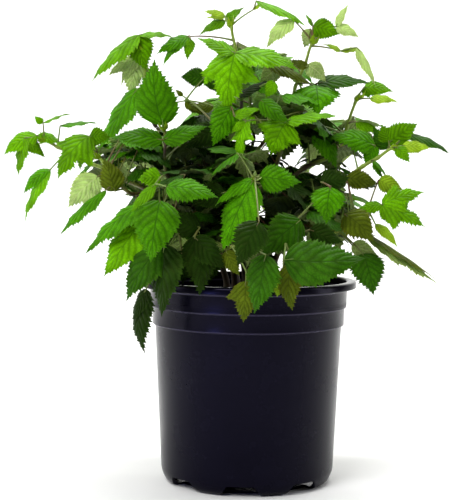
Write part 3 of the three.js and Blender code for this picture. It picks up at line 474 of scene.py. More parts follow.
def placed_leaf(shoot, hubs, hub, tone, blades, dice):
    """A leaf of the table, each blade rolled a little."""
    leaf = Leaf(stalk_path(spring_point(shoot, hubs, hub), hub), tone, True)
    for clock, reach, lean, wide, *rest in blades:
        heading, face, length, width = pose_blade(clock, reach, lean, wide)
        face = Quaternion(heading, dice.uniform(-BLADE_ROLL, BLADE_ROLL)) @ face
        stalk, lobes = [*rest, 0, 0][:2]
        # A blade that is seen narrow hardly bows, so that its outline stays as it is seen.
        bow = LEAST_BOW + (1 - LEAST_BOW) * abs(wide) / width
        leaf.blades.append(Blade(hub + heading * stalk, heading, face, length, width, lobes, bow))
    return leaf


def rule_leaf(path, behind, share, turn, size, dice):
    """A leaf that is turned round a path and whose blades droop; behind keeps it to the back."""
    root, along = path.at(share), path.along(share)
    side = along.cross(UP).normalized()
    out = side * math.cos(turn) + side.cross(along) * math.sin(turn) + along * FORWARD_LEAN
    if behind:
        out.y = abs(out.y) + BACKWARD_LEAN
    out.normalize()
    hub = root + out * (size * dice.uniform(*RULE_STALK))
    level = Vector((out.x, out.y, KEPT_RISE * out.z + LEAST_RISE)).normalized()
    leaf = Leaf(stalk_path(root, hub), "mid", False)
    five = size > FIVE_BLADE_SIZE and dice.random() < FIVE_BLADE_CHANCE
    for spread, length_share in FIVE_BLADES if five else THREE_BLADES:
        heading = Quaternion(UP, spread) @ level
        heading.z -= dice.uniform(*RULE_DROOP)
        heading.normalize()
        face = (UP - heading * UP.dot(heading)).normalized()
        face = Quaternion(heading, dice.uniform(-RULE_ROLL, RULE_ROLL)) @ face
        length = size * length_share
        base = hub + heading * (SIDE_STALK if spread else size * END_STALK)
        leaf.blades.append(Blade(base, heading, face, length, RULE_BLADE_RATIO * length, 0, 1))
    return leaf


def rule_tone(leaf, dice):
    """Older leaves inside the crown are deep green and outer ones lighter; the deep green inside is partly
    painted shade, and the lighter tones outward and higher up are partly painted light.
    """
    hub = leaf.stalk.at(1)
    outward = math.dist(hub, CROWN_HEART) / CROWN_SCALE
    above = (hub.z - CROWN_LEVEL) / CROWN_SCALE
    throw = dice.random() * CHANCE_SHARE + outward * OUTWARD_SHARE + above * HEIGHT_SHARE
    for tone, limit in TONE_THROWS:
        if throw < limit:
            return tone
    return "bright" if dice.random() < OUTER_BRIGHT_CHANCE else "olive"


def shade_tone(_, dice):
    """Leaves along the limbs, deep inside the crown, are deep green or dark, partly as painted shade."""
    return "deep" if dice.random() < SHADE_DEEP_CHANCE else "dark"


# How rule leaves fill a path: tries for each, first share and span of the path, turn from one to
# the next, least and largest share of their size, and what throws their tone
Filling = namedtuple("Filling", "tries start span swirl least most tone")
SHOOT_FILLING = Filling(60, 0.1, 0.88, GOLDEN_ANGLE, 0.75, 1.2, rule_tone)
LIMB_FILLING = Filling(40, 0.25, 0.7, 0, 0.8, 1.2, shade_tone)
SHADE_BLADE = 30


def grow_plant(settings):
    """Limb paths, shoot paths and every compound leaf, from the tables and the seeded rule."""
    limbs = grow_limbs()
    shoots, leaves, centres = {}, [], []

    def fill_path(path, wanted, size, behind, dice, way):
        """Sets rule leaves along a path where they are free of all others and keep within."""
        kept = 0
        for _ in range(wanted * way.tries):
            if kept == wanted:
                break
            share = way.start + way.span * (kept + dice.random()) / wanted
            turn = kept * way.swirl + THROWN_TURN * dice.random()
            leaf_size = size * dice.uniform(way.least, way.most)
            leaf = rule_leaf(path, behind, share, turn, leaf_size, dice)
            middles = leaf.middles()
            free = all((m - c).length > settings.spacing for m in middles for c in centres)
            if free and keeps_within(leaf.outer_points()):
                leaf.tone = way.tone(leaf, dice)
                leaves.append(leaf)
                centres.extend(middles)
                kept += 1

    for name, (limb, end, _, _, seed, rows) in MASSES.items():
        shoots[name] = grow_shoot(limbs[limb], end)
        hubs = []
        dice = random.Random(seed)
        for place, tone, blades in rows:
            leaf = placed_leaf(shoots[name], hubs, seen(place), tone, blades, dice)
            hubs.append(seen(place))
            leaves.append(leaf)
            centres.extend(leaf.middles())
    for name, (_, _, fill, size, seed, rows) in MASSES.items():
        wanted = round(fill * settings.fullness)
        dice = random.Random(seed * 7 + 3)
        fill_path(shoots[name], wanted, size, bool(rows), dice, SHOOT_FILLING)
    for number, (name, path) in enumerate(limbs.items()):
        wanted = round(settings.shade_leaves if name in CANES else settings.shade_leaves / 2)
        fill_path(path, wanted, SHADE_BLADE, True, random.Random(number + 400), LIMB_FILLING)
    return limbs, shoots, leaves


# Meshes


def new_object(name, data):
    obj = bpy.data.objects.new(name, data)
    bpy.context.scene.collection.objects.link(obj)
    return obj


def keep_mesh(obj, modifier):
    """Makes a modifier's result the object's own plain mesh."""
    graph = bpy.context.evaluated_depsgraph_get()
    mesh = bpy.data.meshes.new_from_object(obj.evaluated_get(graph))
    obj.modifiers.remove(modifier)
    obj.data = mesh
    mesh.name = obj.name


def finish_piece(obj, nodes):
    """Ties a finished piece to the frame."""
    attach(obj, "root")
    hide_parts(*nodes)


def smooth_by_angle(mesh, degrees):
    mesh.shade_smooth()
    mesh.set_sharp_from_angle(angle=math.radians(degrees))


def outward_mesh(bm, name):
    """A mesh of bm with its faces turned outwards."""
    bmesh.ops.recalc_face_normals(bm, faces=bm.faces)
    mesh = bpy.data.meshes.new(name)
    bm.to_mesh(mesh)
    bm.free()
    return mesh


def revolve(profile, segments):
    """Closed mesh of a profile (radius, height) in millimetres that starts and ends on the axis."""
    bm = bmesh.new()
    rings = []
    for radius, height in profile:
        ring = []
        for k in range(segments if radius else 1):
            turn = 2 * math.pi * k / segments
            x, y = radius * MM * math.cos(turn), radius * MM * math.sin(turn)
            ring.append(bm.verts.new((x, y, height * MM)))
        rings.append(ring if radius else ring * segments)
    for low, high in zip(rings, rings[1:]):
        for k in range(segments):
            following = (k + 1) % segments
            corners = [low[k], low[following], high[following], high[k]]
            bm.faces.new(list(dict.fromkeys(corners)))
    return outward_mesh(bm, "revolved")


class LeafMesh:
    """Gathers blades into one mesh with a map across and along each blade and a tint."""

    def __init__(self):
        self.points, self.quads, self.under, self.maps, self.tints = [], [], [], [], []
        self.count = 0

    def add(self, points, quads, under, across_along, tint):
        self.points.append(points)
        self.quads.append(quads + self.count)
        self.under.append(under)
        self.maps.append(across_along)
        self.tints.append(np.full(len(points), tint))
        self.count += len(points)

    def build(self, name):
        points = np.concatenate(self.points) * MM
        quads = np.concatenate(self.quads)
        mesh = bpy.data.meshes.new(name)
        mesh.from_pydata(points.tolist(), [], quads.tolist())
        mesh.polygons.foreach_set("material_index", np.concatenate(self.under).astype(np.int32))
        loops = np.zeros(len(mesh.loops), np.int32)
        mesh.loops.foreach_get("vertex_index", loops)
        layer = mesh.uv_layers.new(name="blade")
        layer.data.foreach_set("uv", np.concatenate(self.maps)[loops].ravel().astype(np.float32))
        tint = mesh.attributes.new("tint", "FLOAT", "POINT")
        tint.data.foreach_set("value", np.concatenate(self.tints).astype(np.float32))
        mesh.update()
        smooth_by_angle(mesh, 50)
        return mesh


# Steps of the margin's teeth: doubly serrated on a fine grid, simply on a coarse one
FINE_TEETH = (-0.6, 0.35, -0.1, 1.0)
COARSE_TEETH = (-0.4, 0.9)
FINE_ROWS = 24
# Depth of a tooth: a share of the blade's width, up to a size; how far a tooth points forward
TOOTH_SHARE = 0.075
TOOTH_DEPTH = 1.9
TOOTH_LEAD = 1.3
# Places of a lobe and of the bay before the tip, and their spread, as shares of the blade's length
LOBE_PLACE = 0.33
BAY_PLACE = 0.52
LOBE_SPREAD = 0.1
# How far a full lobe stands out and points forward, and how deep its bay is
LOBE_SWELL = 0.75
LOBE_LEAD = 0.2
BAY_DEPTH = 0.45
# Powers of the outline's swelling from the base and narrowing to the tip
SWELLING = 0.6
NARROWING = 1.3
# Half widths of a blade at its base and at its tip
BASE_HALF = 0.35
TIP_HALF = 0.08
# Ranges of a blade's own form, in the order of the throws: shares of its length or width, but for
# phase and twist in radians
BLADE_FORM = {
    "arch": (0.05, 0.13),
    "droop": (0.12, 0.3),
    "crease": (0.08, 0.24),
    "ripple": (0.02, 0.055),
    "phase": (0, math.tau),
    "twist": (-0.4, 0.4),
    "bend": (-0.06, 0.06),
    "hook": (0, 0.16),
}
# Ripples of the margin in radians along a blade and how far its two sides are out of step, and the
# shares from which the tip hooks and round which the blade twists
RIPPLES = 19
OUT_OF_STEP = 0.9
HOOK_FROM = 0.6
TWIST_ROUND = 0.25


def margin_teeth(rows, width, dice):
    """Outward steps along one margin, fading toward base and tip."""
    pattern = FINE_TEETH if rows >= FINE_ROWS else COARSE_TEETH
    steps = []
    while len(steps) <= rows:
        size = dice.uniform(0.45, 1.35)
        steps.extend(size * step for step in pattern)
    fade = [min(1, 7 * k / rows, 6 * (1 - k / rows)) for k in range(rows + 1)]
    depth = min(TOOTH_SHARE * width, TOOTH_DEPTH)
    return np.array([depth * step * share for step, share in zip(steps, fade)])


def blade_outline(blade, rows, columns, dice):
    """Grids of a blade's shares along and across, half widths and forward shifts."""
    along = np.linspace(0, 1, rows + 1)
    body = along**SWELLING * (1 - along) ** NARROWING
    half = np.maximum(body / body.max() * blade.width / 2, BASE_HALF)
    half[-1] = TIP_HALF
    grid_t, grid_s = np.meshgrid(along, np.linspace(-1, 1, columns + 1), indexing="ij")
    half_grid = np.repeat(half[:, None], columns + 1, 1)
    forward = np.zeros_like(half_grid)
    # A lobe stands out, points forward and leaves a bay before the tip.
    lobe, bay = (
        blade.lobes * np.exp(-(((grid_t - spot) / LOBE_SPREAD) ** 2)) * np.abs(grid_s)
        for spot in (LOBE_PLACE, BAY_PLACE)
    )
    half_grid *= 1 + LOBE_SWELL * lobe - BAY_DEPTH * bay
    forward += lobe * LOBE_LEAD * blade.length
    for edge in (0, -1):
        teeth = margin_teeth(rows, blade.width, dice)
        half_grid[:, edge] += teeth
        forward[:, edge] += np.clip(teeth * TOOTH_LEAD, 0, 0.7 * blade.length / rows)
    return grid_t, grid_s, half_grid, forward


def close_blade(top, normal, thickness):
    """Closes a grid of points with an underside: all points, quads and underside flags."""
    rows, columns = top.shape[0] - 1, top.shape[1] - 1
    index = np.arange((rows + 1) * (columns + 1)).reshape(rows + 1, columns + 1)
    below = index.copy()
    inner = np.arange((rows - 1) * (columns - 1)).reshape(rows - 1, columns - 1)
    below[1:-1, 1:-1] = inner + index.size
    under_points = top[1:-1, 1:-1] - thickness * normal
    points = np.concatenate([top.reshape(-1, 3), under_points.reshape(-1, 3)])

    def quads_of(grid, flipped):
        near, far = (grid[1:, :-1], grid[:-1, 1:]) if flipped else (grid[:-1, 1:], grid[1:, :-1])
        return np.stack([grid[:-1, :-1], near, grid[1:, 1:], far], -1).reshape(-1, 4)

    upper, lower = quads_of(index, False), quads_of(below, True)
    under = np.concatenate([np.zeros(len(upper)), np.ones(len(lower))])
    return points, np.concatenate([upper, lower]), under


def blade_arrays(blade, rows, columns, thickness, dice):
    """One serrated, arched blade as a closed shell: points, quads, underside flags, map."""
    grid_t, grid_s, half_grid, forward = blade_outline(blade, rows, columns, dice)
    arch, droop, crease, ripple, phase, twist, bend, hook = (
        dice.uniform(*span) for span in BLADE_FORM.values()
    )
    length, bowed = blade.length, blade.length * blade.bow
    absolute = np.abs(grid_s)
    middle = 4 * grid_t * (1 - grid_t)
    # Arched along its length with the tip hooked down, creased at the midrib, rippled at the margin
    lift = arch * bowed * middle - hook * bowed * np.maximum(grid_t - HOOK_FROM, 0) ** 2 * 4
    lift = lift + half_grid * (crease * absolute - (crease + droop) * absolute**2)
    wave = np.sin(grid_t * RIPPLES + phase + np.sign(grid_s) * OUT_OF_STEP) * absolute**2
    lift = lift + ripple * blade.width * wave * np.sqrt(middle)
    lateral = grid_s * half_grid
    turn = twist * (grid_t - TWIST_ROUND)
    side_share = lateral * np.cos(turn) + bend * length * middle
    lift = lift + lateral * np.sin(turn)
    heading, normal = np.array(blade.heading), np.array(blade.face)
    side = np.cross(heading, normal)
    side /= np.linalg.norm(side)
    top = (
        np.array(blade.base)
        + (grid_t * length + forward)[..., None] * heading
        + side_share[..., None] * side
        + lift[..., None] * normal
    )
    flat = np.stack([grid_s * 0.5 + 0.5, grid_t], -1)
    maps = np.concatenate([flat.reshape(-1, 2), flat[1:-1, 1:-1].reshape(-1, 2)])
    return *close_blade(top, normal, thickness), maps


# Materials


def linear(hex_colour):
    """Linear RGB of an sRGB hex colour."""
    values = [int(hex_colour[i : i + 2], 16) / 255 for i in (1, 3, 5)]
    return tuple(v / 12.92 if v <= 0.04045 else ((v + 0.055) / 1.055) ** 2.4 for v in values)


MATHS = "ShaderNodeMath"
VECTOR_MATHS = "ShaderNodeVectorMath"
RANGE = "ShaderNodeMapRange"
RAMP = "ShaderNodeValToRGB"
MIX = "ShaderNodeMix"
NOISE = "ShaderNodeTexNoise"
CELLS = "ShaderNodeTexVoronoi"
BUMP = "ShaderNodeBump"
PLACE = "ShaderNodeTexCoord"
SPLIT = "ShaderNodeSeparateXYZ"
ATTRIBUTE = "ShaderNodeAttribute"


def add_node(tree, kind, inputs=(), output=0, stops=(), **settings):
    """Adds a node with its settings, colour stops and inputs, and gives one of its outputs.

    Inputs are values or other outputs, in a list by order or in a dict by name or number.
    """
    node = tree.nodes.new(kind)
    for key, value in settings.items():
        setattr(node, key, value)
    if stops:
        elements = node.color_ramp.elements
        while len(elements) < len(stops):
            elements.new(0.5)
        for element, (position, colour) in zip(elements, stops):
            element.position = position
            element.color = (*colour, 1)
    for key, value in inputs.items() if isinstance(inputs, dict) else enumerate(inputs):
        if isinstance(value, bpy.types.NodeSocket):
            tree.links.new(value, node.inputs[key])
        else:
            node.inputs[key].default_value = value
    return node.outputs[output]


def new_material(name, **shader):
    """A material with its Principled shader's constant values set on their own sockets."""
    material = bpy.data.materials.new(name)
    material.use_nodes = True
    tree = material.node_tree
    bsdf = tree.nodes["Principled BSDF"]
    for key, value in shader.items():
        bsdf.inputs[key.replace("_", " ")].default_value = value
    return material, tree, bsdf


# On the pot, in millimetres: lower edges of its bands, foot of its lip, radius and floor of its mouth
BAND_EDGES = (129.0, 143.6, 158.3)
LIP_FOOT = 159.5
MOUTH_RADIUS = 80
MOUTH_FLOOR = 146


def moulded_polyethylene(settings):
    """Injection-moulded black polyethylene: a soft satin sheen over a faint moulding grain."""
    material, tree, bsdf = new_material(
        "moulded_polyethylene", IOR=1.5, Specular_Tint=(0.66, 0.62, 1, 1)
    )
    place = add_node(tree, PLACE, output="Object")
    # Grain of about 0.8 mm, coarser than the real one so that it shows as a soft break-up.
    grain = add_node(tree, NOISE, {"Vector": place, "Scale": 1200, "Detail": 3})
    # Dusty, rubbed patches of a few centimetres that dull the sheen unevenly.
    patches = add_node(tree, NOISE, {"Vector": place, "Scale": 38, "Detail": 5, "Roughness": 0.6})
    black = Vector(settings.colour)
    plastic = add_node(tree, RAMP, [patches], stops=[(0.3, black * 0.8), (0.62, black), (0.8, black * 1.5)])
    # A painted highlight: the lower edge of each band, about a millimetre wide, is painted paler where it
    # would catch the light.
    height = add_node(tree, SPLIT, [place], "Z")
    nearest = 1.0
    for edge in BAND_EDGES:
        offset = add_node(tree, MATHS, [height, edge * MM], operation="SUBTRACT")
        offset = add_node(tree, MATHS, [offset], operation="ABSOLUTE")
        nearest = add_node(tree, MATHS, [nearest, offset], operation="MINIMUM")
    band_highlight = add_node(tree, RANGE, [nearest, 0.4 * MM, 1 * MM, 0.8, 0.0])
    highlit_bands = {0: band_highlight, 6: plastic, 7: (*settings.band_highlight, 1)}
    tree.links.new(add_node(tree, MIX, highlit_bands, 2, data_type="RGBA"), bsdf.inputs["Base Color"])
    # The patches dull it, and the turned-down lip is polished by handling.
    rough = add_node(tree, RANGE, [patches, 0.3, 0.75, 0.22, 0.31])
    polish = add_node(tree, RANGE, [height, (LIP_FOOT - 1) * MM, (LIP_FOOT + 1) * MM, 0.0, -0.05])
    rough = add_node(tree, MATHS, [rough, polish], operation="ADD")
    # Painted shade: the wall of the mouth, above the upper step, is left almost without sheen and made
    # rougher, so that it stays dark as a shaded recess.
    level = add_node(tree, VECTOR_MATHS, [place, (1, 1, 0)], operation="MULTIPLY")
    radius = add_node(tree, VECTOR_MATHS, [level], "Value", operation="LENGTH")
    outside = add_node(tree, RANGE, [radius, (MOUTH_RADIUS - 0.1) * MM, (MOUTH_RADIUS + 0.4) * MM])
    below = add_node(tree, RANGE, [height, (MOUTH_FLOOR - 0.5) * MM, (MOUTH_FLOOR + 1) * MM, 1.0, 0.0])
    outside_mouth_wall = add_node(tree, MATHS, [outside, below], operation="MAXIMUM")
    sheen = add_node(tree, RANGE, {"Value": outside_mouth_wall, "To Min": 0.01, "To Max": 0.09})
    tree.links.new(sheen, bsdf.inputs["Specular IOR Level"])
    mouth_shade_roughness = add_node(tree, RANGE, {"Value": outside_mouth_wall, "To Min": 0.5, "To Max": 0.0})
    rough = add_node(tree, MATHS, [rough, mouth_shade_roughness], operation="ADD")
    tree.links.new(rough, bsdf.inputs["Roughness"])
    relief = add_node(tree, BUMP, {"Height": grain, "Strength": 0.12, "Distance": 0.2 * MM})
    tree.links.new(relief, bsdf.inputs["Normal"])
    return material


def potting_mix(settings):
    """Peat-based potting mix: dark, crumbly and dull, with browner fibres."""
    material, tree, bsdf = new_material("peat_potting_mix", Roughness=0.95)
    place = add_node(tree, PLACE, output="Object")
    # Crumbs of about 3 mm.
    crumbs = add_node(tree, NOISE, {"Vector": place, "Scale": 330, "Detail": 4})
    dark, light = Vector(settings.dark), Vector(settings.light)
    colour = add_node(tree, RAMP, [crumbs], stops=[(0.35, dark), (0.55, dark * 1.6), (0.75, light)])
    tree.links.new(colour, bsdf.inputs["Base Color"])
    relief = add_node(tree, BUMP, {"Height": crumbs, "Strength": 0.7, "Distance": 1 * MM})
    tree.links.new(relief, bsdf.inputs["Normal"])
    return material


def bark_chip(settings):
    """Composted bark chips and fibre: brown, matt, uneven from chip to chip."""
    material, tree, bsdf = new_material("composted_bark", Roughness=0.9)
    place = add_node(tree, PLACE, output="Object")
    # Chips of about 6 mm each take one tone.
    chips = add_node(tree, CELLS, {"Vector": place, "Scale": 160}, "Color")
    tone = add_node(tree, "ShaderNodeSeparateColor", [chips], "Red")
    dark, light = Vector(settings.dark), Vector(settings.light)
    stops = [(0.0, dark), (0.5, dark.lerp(light, 0.5)), (0.85, light), (1.0, light * 1.8)]
    tree.links.new(add_node(tree, RAMP, [tone], stops=stops), bsdf.inputs["Base Color"])
    return material


def cane_bark(settings):
    """Young bramble cane: smooth, ripening from green to brown, with fine lengthwise streaks."""
    material, tree, bsdf = new_material("cane_bark", Roughness=0.55)
    place = add_node(tree, PLACE, output="Object")
    # Streaks about 0.6 mm wide, drawn out lengthwise.
    drawn = add_node(tree, "ShaderNodeMapping", {"Vector": place, "Scale": (1, 1, 0.12)})
    streaks = add_node(tree, NOISE, {"Vector": drawn, "Scale": 1600, "Detail": 3})
    # Green and brown change over about 25 mm.
    ripeness = add_node(tree, NOISE, {"Vector": place, "Scale": 40, "Detail": 2})
    youth = add_node(tree, ATTRIBUTE, output="Fac", attribute_name="youth")
    stage = add_node(tree, MATHS, [ripeness, youth], operation="ADD")
    brown, green = Vector(settings.brown), Vector(settings.green)
    wood = add_node(tree, RAMP, [stage], stops=[(0.5, brown * 0.7), (0.7, brown), (0.95, green)])
    dark = add_node(tree, RAMP, [streaks], stops=[(0.35, (0.55, 0.5, 0.45)), (0.6, (1, 1, 1))])
    streaked = add_node(
        tree, MIX, {0: 0.8, 6: wood, 7: dark}, 2, data_type="RGBA", blend_type="MULTIPLY"
    )
    tree.links.new(streaked, bsdf.inputs["Base Color"])
    relief = add_node(tree, BUMP, {"Height": streaks, "Strength": 0.4, "Distance": 0.3 * MM})
    tree.links.new(relief, bsdf.inputs["Normal"])
    return material


def leaf_stalk(settings):
    """Living leaf stalks: yellow-green, flushed red-brown in places, with a soft shine."""
    material, tree, bsdf = new_material("leaf_stalk", Roughness=0.5)
    place = add_node(tree, PLACE, output="Object")
    # The flush comes and goes over about 30 mm.
    flush = add_node(tree, NOISE, {"Vector": place, "Scale": 32, "Detail": 2})
    stalk, red = Vector(settings.stalk), Vector(settings.flush)
    stops = [(0.4, stalk), (0.52, stalk.lerp(red, 0.35)), (0.66, red)]
    tree.links.new(add_node(tree, RAMP, [flush], stops=stops), bsdf.inputs["Base Color"])
    return material


def leaf_blade(name, colour, vein, margin, roughness, strength):
    """Bramble leaf: soft satin, quilted, with painted light on the cushions between darker, sunken veins.
    """
    material, tree, bsdf = new_material(
        name, Roughness=roughness, Specular_IOR_Level=0.1, Specular_Tint=(0.8, 1, 0.2, 1)
    )
    soft = {"interpolation_type": "SMOOTHSTEP"}
    blade = add_node(tree, "ShaderNodeUVMap", uv_map="blade")
    place = add_node(tree, PLACE, output="Object")
    # From 0 on the midrib to 1 on the margin
    across = add_node(tree, SPLIT, [blade], "X")
    across = add_node(tree, MATHS, [across, 2.0, -1.0], operation="MULTIPLY_ADD")
    across = add_node(tree, MATHS, [across], operation="ABSOLUTE")
    # Blotches of about 8 mm, as leaf age and light leave them, and a slow drift over 25 mm.
    blotch = add_node(tree, NOISE, {"Vector": place, "Scale": 120, "Detail": 3})
    drift = add_node(tree, NOISE, {"Vector": place, "Scale": 42, "Detail": 1})
    along = add_node(tree, SPLIT, [blade], "Y")
    wander = add_node(tree, MATHS, [blotch, 0.09, -0.045], operation="MULTIPLY_ADD")
    along = add_node(tree, MATHS, [along, wander], operation="ADD")
    midrib = add_node(tree, RANGE, [across, 0.012, 0.055, 1.0, 0.0], **soft)
    # Six pairs of side veins, each bowed toward the tip and thinner toward the margin.
    bowed = add_node(tree, MATHS, [across, 1.15], operation="POWER")
    bowed = add_node(tree, MATHS, [bowed, 2.4], operation="MULTIPLY")
    slant = add_node(tree, MATHS, [along, 6.5], operation="MULTIPLY")
    slant = add_node(tree, MATHS, [slant, bowed], operation="SUBTRACT")
    ribs = add_node(tree, MATHS, [slant, 0.5], operation="PINGPONG")
    side_vein = add_node(tree, RANGE, [ribs, 0.012, 0.07, 1.0, 0.0], **soft)
    thinning = add_node(tree, RANGE, [across, 0.5, 1.0, 1.0, 0.3], **soft)
    side_vein = add_node(tree, MATHS, [side_vein, thinning], operation="MULTIPLY")
    # The net of finer veins between them, about 2.5 mm apart.
    net = add_node(tree, CELLS, {"Vector": place, "Scale": 420}, feature="DISTANCE_TO_EDGE")
    fine_vein = add_node(tree, RANGE, [net, 0.02, 0.16, 0.5, 0.0], **soft)
    veins = add_node(tree, MATHS, [midrib, side_vein], operation="MAXIMUM")
    veins = add_node(tree, MATHS, [veins, fine_vein], operation="MAXIMUM")
    veins = add_node(tree, MATHS, [veins, strength], operation="MULTIPLY")

    base = Vector(colour)
    ground = add_node(tree, RAMP, [blotch], stops=[(0.3, base * 0.72), (0.5, base), (0.72, base * 1.3)])
    # Each leaf's own tint, the slow drift, and painted light on the cushions between the side veins.
    tint = add_node(tree, ATTRIBUTE, output="Fac", attribute_name="tint")
    cushion = add_node(tree, RANGE, [ribs, 0.0, 0.42, 0.0, 1.0], **soft)
    tone_and_cushion_light = 0.86 - 0.45
    for source, share in ((tint, 0.28), (drift, 0.9), (cushion, 0.3)):
        tone_and_cushion_light = add_node(tree, MATHS, [source, share, tone_and_cushion_light], operation="MULTIPLY_ADD")
    toned = add_node(tree, VECTOR_MATHS, {0: ground, 3: tone_and_cushion_light}, operation="SCALE")
    veined = add_node(tree, MIX, {0: veins, 6: toned, 7: (*linear(vein), 1)}, 2, data_type="RGBA")
    rim = add_node(tree, RANGE, [across, 0.75, 1.0, 0.0, 0.8], **soft)
    rim = add_node(tree, MATHS, [rim, blotch], operation="MULTIPLY")
    rimmed = add_node(tree, MIX, {0: rim, 6: veined, 7: (*linear(margin), 1)}, 2, data_type="RGBA")
    tree.links.new(rimmed, bsdf.inputs["Base Color"])
    # Quilted relief: a soft cushion between side veins, a sunken midrib, and the fine net.
    beside = add_node(tree, MATHS, [1.0, midrib], operation="SUBTRACT")
    quilt = add_node(tree, MATHS, [cushion, beside], operation="MINIMUM")
    mesh_relief = add_node(tree, MATHS, [net, 0.5], operation="MULTIPLY")
    relief = add_node(tree, MATHS, [quilt, 0.8, mesh_relief], operation="MULTIPLY_ADD")
    bump = add_node(tree, BUMP, {"Height": relief, "Strength": 0.5, "Distance": 1.1 * MM})
    tree.links.new(bump, bsdf.inputs["Normal"])
    return material


def seamless_paper(settings):
    """Seamless paper: plain, pale and matt, with a barely seen tooth."""
    material, tree, bsdf = new_material("seamless_paper", Roughness=0.9)
    place = add_node(tree, PLACE, output="Object")
    # A tooth of about 1 mm.
    tooth = add_node(tree, NOISE, {"Vector": place, "Scale": 900, "Detail": 2})
    pale = Vector(settings.floor)
    colour = add_node(tree, RAMP, [tooth], stops=[(0.3, pale * 0.985), (0.7, pale)])
    tree.links.new(colour, bsdf.inputs["Base Color"])
    return material


# Geometry Nodes


def node_group(name, sockets):
    """An empty geometry tree with a geometry in and out and the named inputs."""
    tree = bpy.data.node_groups.new(name, "GeometryNodeTree")
    tree.interface.new_socket("Geometry", in_out="INPUT", socket_type="NodeSocketGeometry")
    tree.interface.new_socket("Geometry", in_out="OUTPUT", socket_type="NodeSocketGeometry")
    for socket_name, kind in sockets.items():
        tree.interface.new_socket(socket_name, in_out="INPUT", socket_type=f"NodeSocket{kind}")
    return tree, tree.nodes.new("NodeGroupInput").outputs, tree.nodes.new("NodeGroupOutput")


def end_tree(tree, geometry, material, result):
    """Ends a tree in plain geometry that carries its material."""
    real = add_node(tree, "GeometryNodeRealizeInstances", [geometry])
    dressed = add_node(tree, "GeometryNodeSetMaterial", {"Geometry": real, "Material": material})
    tree.links.new(dressed, result.inputs["Geometry"])
    return tree


def skin_tree():
    """Skins every line with a ridged round section of the line's own radius."""
    sockets = {"Sides": "Int", "Ridges": "Float", "Ridge height": "Float", "Material": "Material"}
    tree, given, result = node_group("limb_skin", sockets)
    radius = add_node(tree, "GeometryNodeInputNamedAttribute", {"Name": "radius"}, data_type="FLOAT")
    lines = add_node(tree, "GeometryNodeMeshToCurve", [given["Geometry"]])
    sized = add_node(tree, "GeometryNodeSetCurveRadius", {"Curve": lines, "Radius": radius})
    ring = add_node(
        tree, "GeometryNodeCurvePrimitiveCircle", {"Resolution": given["Sides"], "Radius": 1.0}
    )
    share = add_node(tree, "GeometryNodeSplineParameter", output="Factor")
    turns = add_node(tree, MATHS, [given["Ridges"], math.tau], operation="MULTIPLY")
    angle = add_node(tree, MATHS, [share, turns], operation="MULTIPLY")
    wave = add_node(tree, MATHS, [angle], operation="COSINE")
    swell = add_node(tree, MATHS, [wave, given["Ridge height"], 1.0], operation="MULTIPLY_ADD")
    spot = add_node(tree, "GeometryNodeInputPosition")
    ridged = add_node(tree, VECTOR_MATHS, {0: spot, 3: swell}, operation="SCALE")
    section = add_node(tree, "GeometryNodeSetPosition", {"Geometry": ring, "Position": ridged})
    skin = add_node(
        tree,
        "GeometryNodeCurveToMesh",
        {"Curve": sized, "Profile Curve": section, "Scale": radius, "Fill Caps": True},
    )
    soft = add_node(tree, "GeometryNodeSetShadeSmooth", [skin])
    return end_tree(tree, soft, given["Material"], result)


def crumb_tree():
    """Scatters turned, uneven chips over a surface."""
    sockets = {
        "Density": "Float", "Smallest": "Float", "Largest": "Float", "Seed": "Int", "Material": "Material",
    }
    tree, given, result = node_group("soil_chips", sockets)
    scatter = add_node(
        tree,
        "GeometryNodeDistributePointsOnFaces",
        {"Mesh": given["Geometry"], "Density": given["Density"], "Seed": given["Seed"]},
    )
    chip = add_node(tree, "GeometryNodeMeshIcoSphere", {"Radius": 1.0, "Subdivisions": 1})
    span = {2: given["Smallest"], 3: given["Largest"], "Seed": given["Seed"]}
    size = add_node(tree, "FunctionNodeRandomValue", span, 1, data_type="FLOAT")
    # Chips are longer than wide, and wider than thick.
    sides = {0: (0.5, 0.35, 0.25), 1: (1.5, 0.8, 0.6)}
    shape = add_node(tree, "FunctionNodeRandomValue", sides, data_type="FLOAT_VECTOR")
    scale = add_node(tree, VECTOR_MATHS, {0: shape, 3: size}, operation="SCALE")
    full_turns = {1: (math.tau, math.tau, math.tau)}
    turn = add_node(tree, "FunctionNodeRandomValue", full_turns, data_type="FLOAT_VECTOR")
    placed = add_node(
        tree,
        "GeometryNodeInstanceOnPoints",
        {"Points": scatter, "Instance": chip, "Rotation": turn, "Scale": scale},
    )
    return end_tree(tree, placed, given["Material"], result)


def apply_tree(obj, tree, values):
    """Runs a geometry tree on obj with its inputs set by identifier, and keeps the plain mesh."""
    modifier = obj.modifiers.new(tree.name, "NODES")
    modifier.node_group = tree
    for item in tree.interface.items_tree:
        if item.item_type == "SOCKET" and item.in_out == "INPUT" and item.name in values:
            modifier[item.identifier] = values[item.name]
    keep_mesh(obj, modifier)


def line_object(name, lines):
    """Polylines (points and radii in millimetres, youth) as loose edges with those attributes."""
    points, edges, radii, youths = [], [], [], []
    for line_points, line_radii, youth in lines:
        first = len(points)
        last = len(line_points) - 1
        points.extend((p * MM)[:] for p in line_points)
        radii.extend(r * MM for r in line_radii)
        youths.extend(youth[0] + (youth[1] - youth[0]) * k / last for k in range(last + 1))
        edges.extend((first + k, first + k + 1) for k in range(last))
    mesh = bpy.data.meshes.new(name)
    mesh.from_pydata(points, edges, [])
    mesh.attributes.new("radius", "FLOAT", "POINT").data.foreach_set("value", radii)
    mesh.attributes.new("youth", "FLOAT", "POINT").data.foreach_set("value", youths)
    return new_object(name, mesh)


# Settings


def size_setting(name, description, default, low=0.0):
    return FloatProperty(name=name, description=description, default=default, min=low)


def colour_setting(name, description, hex_colour):
    return FloatVectorProperty(
        name=name, description=description, default=linear(hex_colour), subtype="COLOR", min=0, max=1
    )


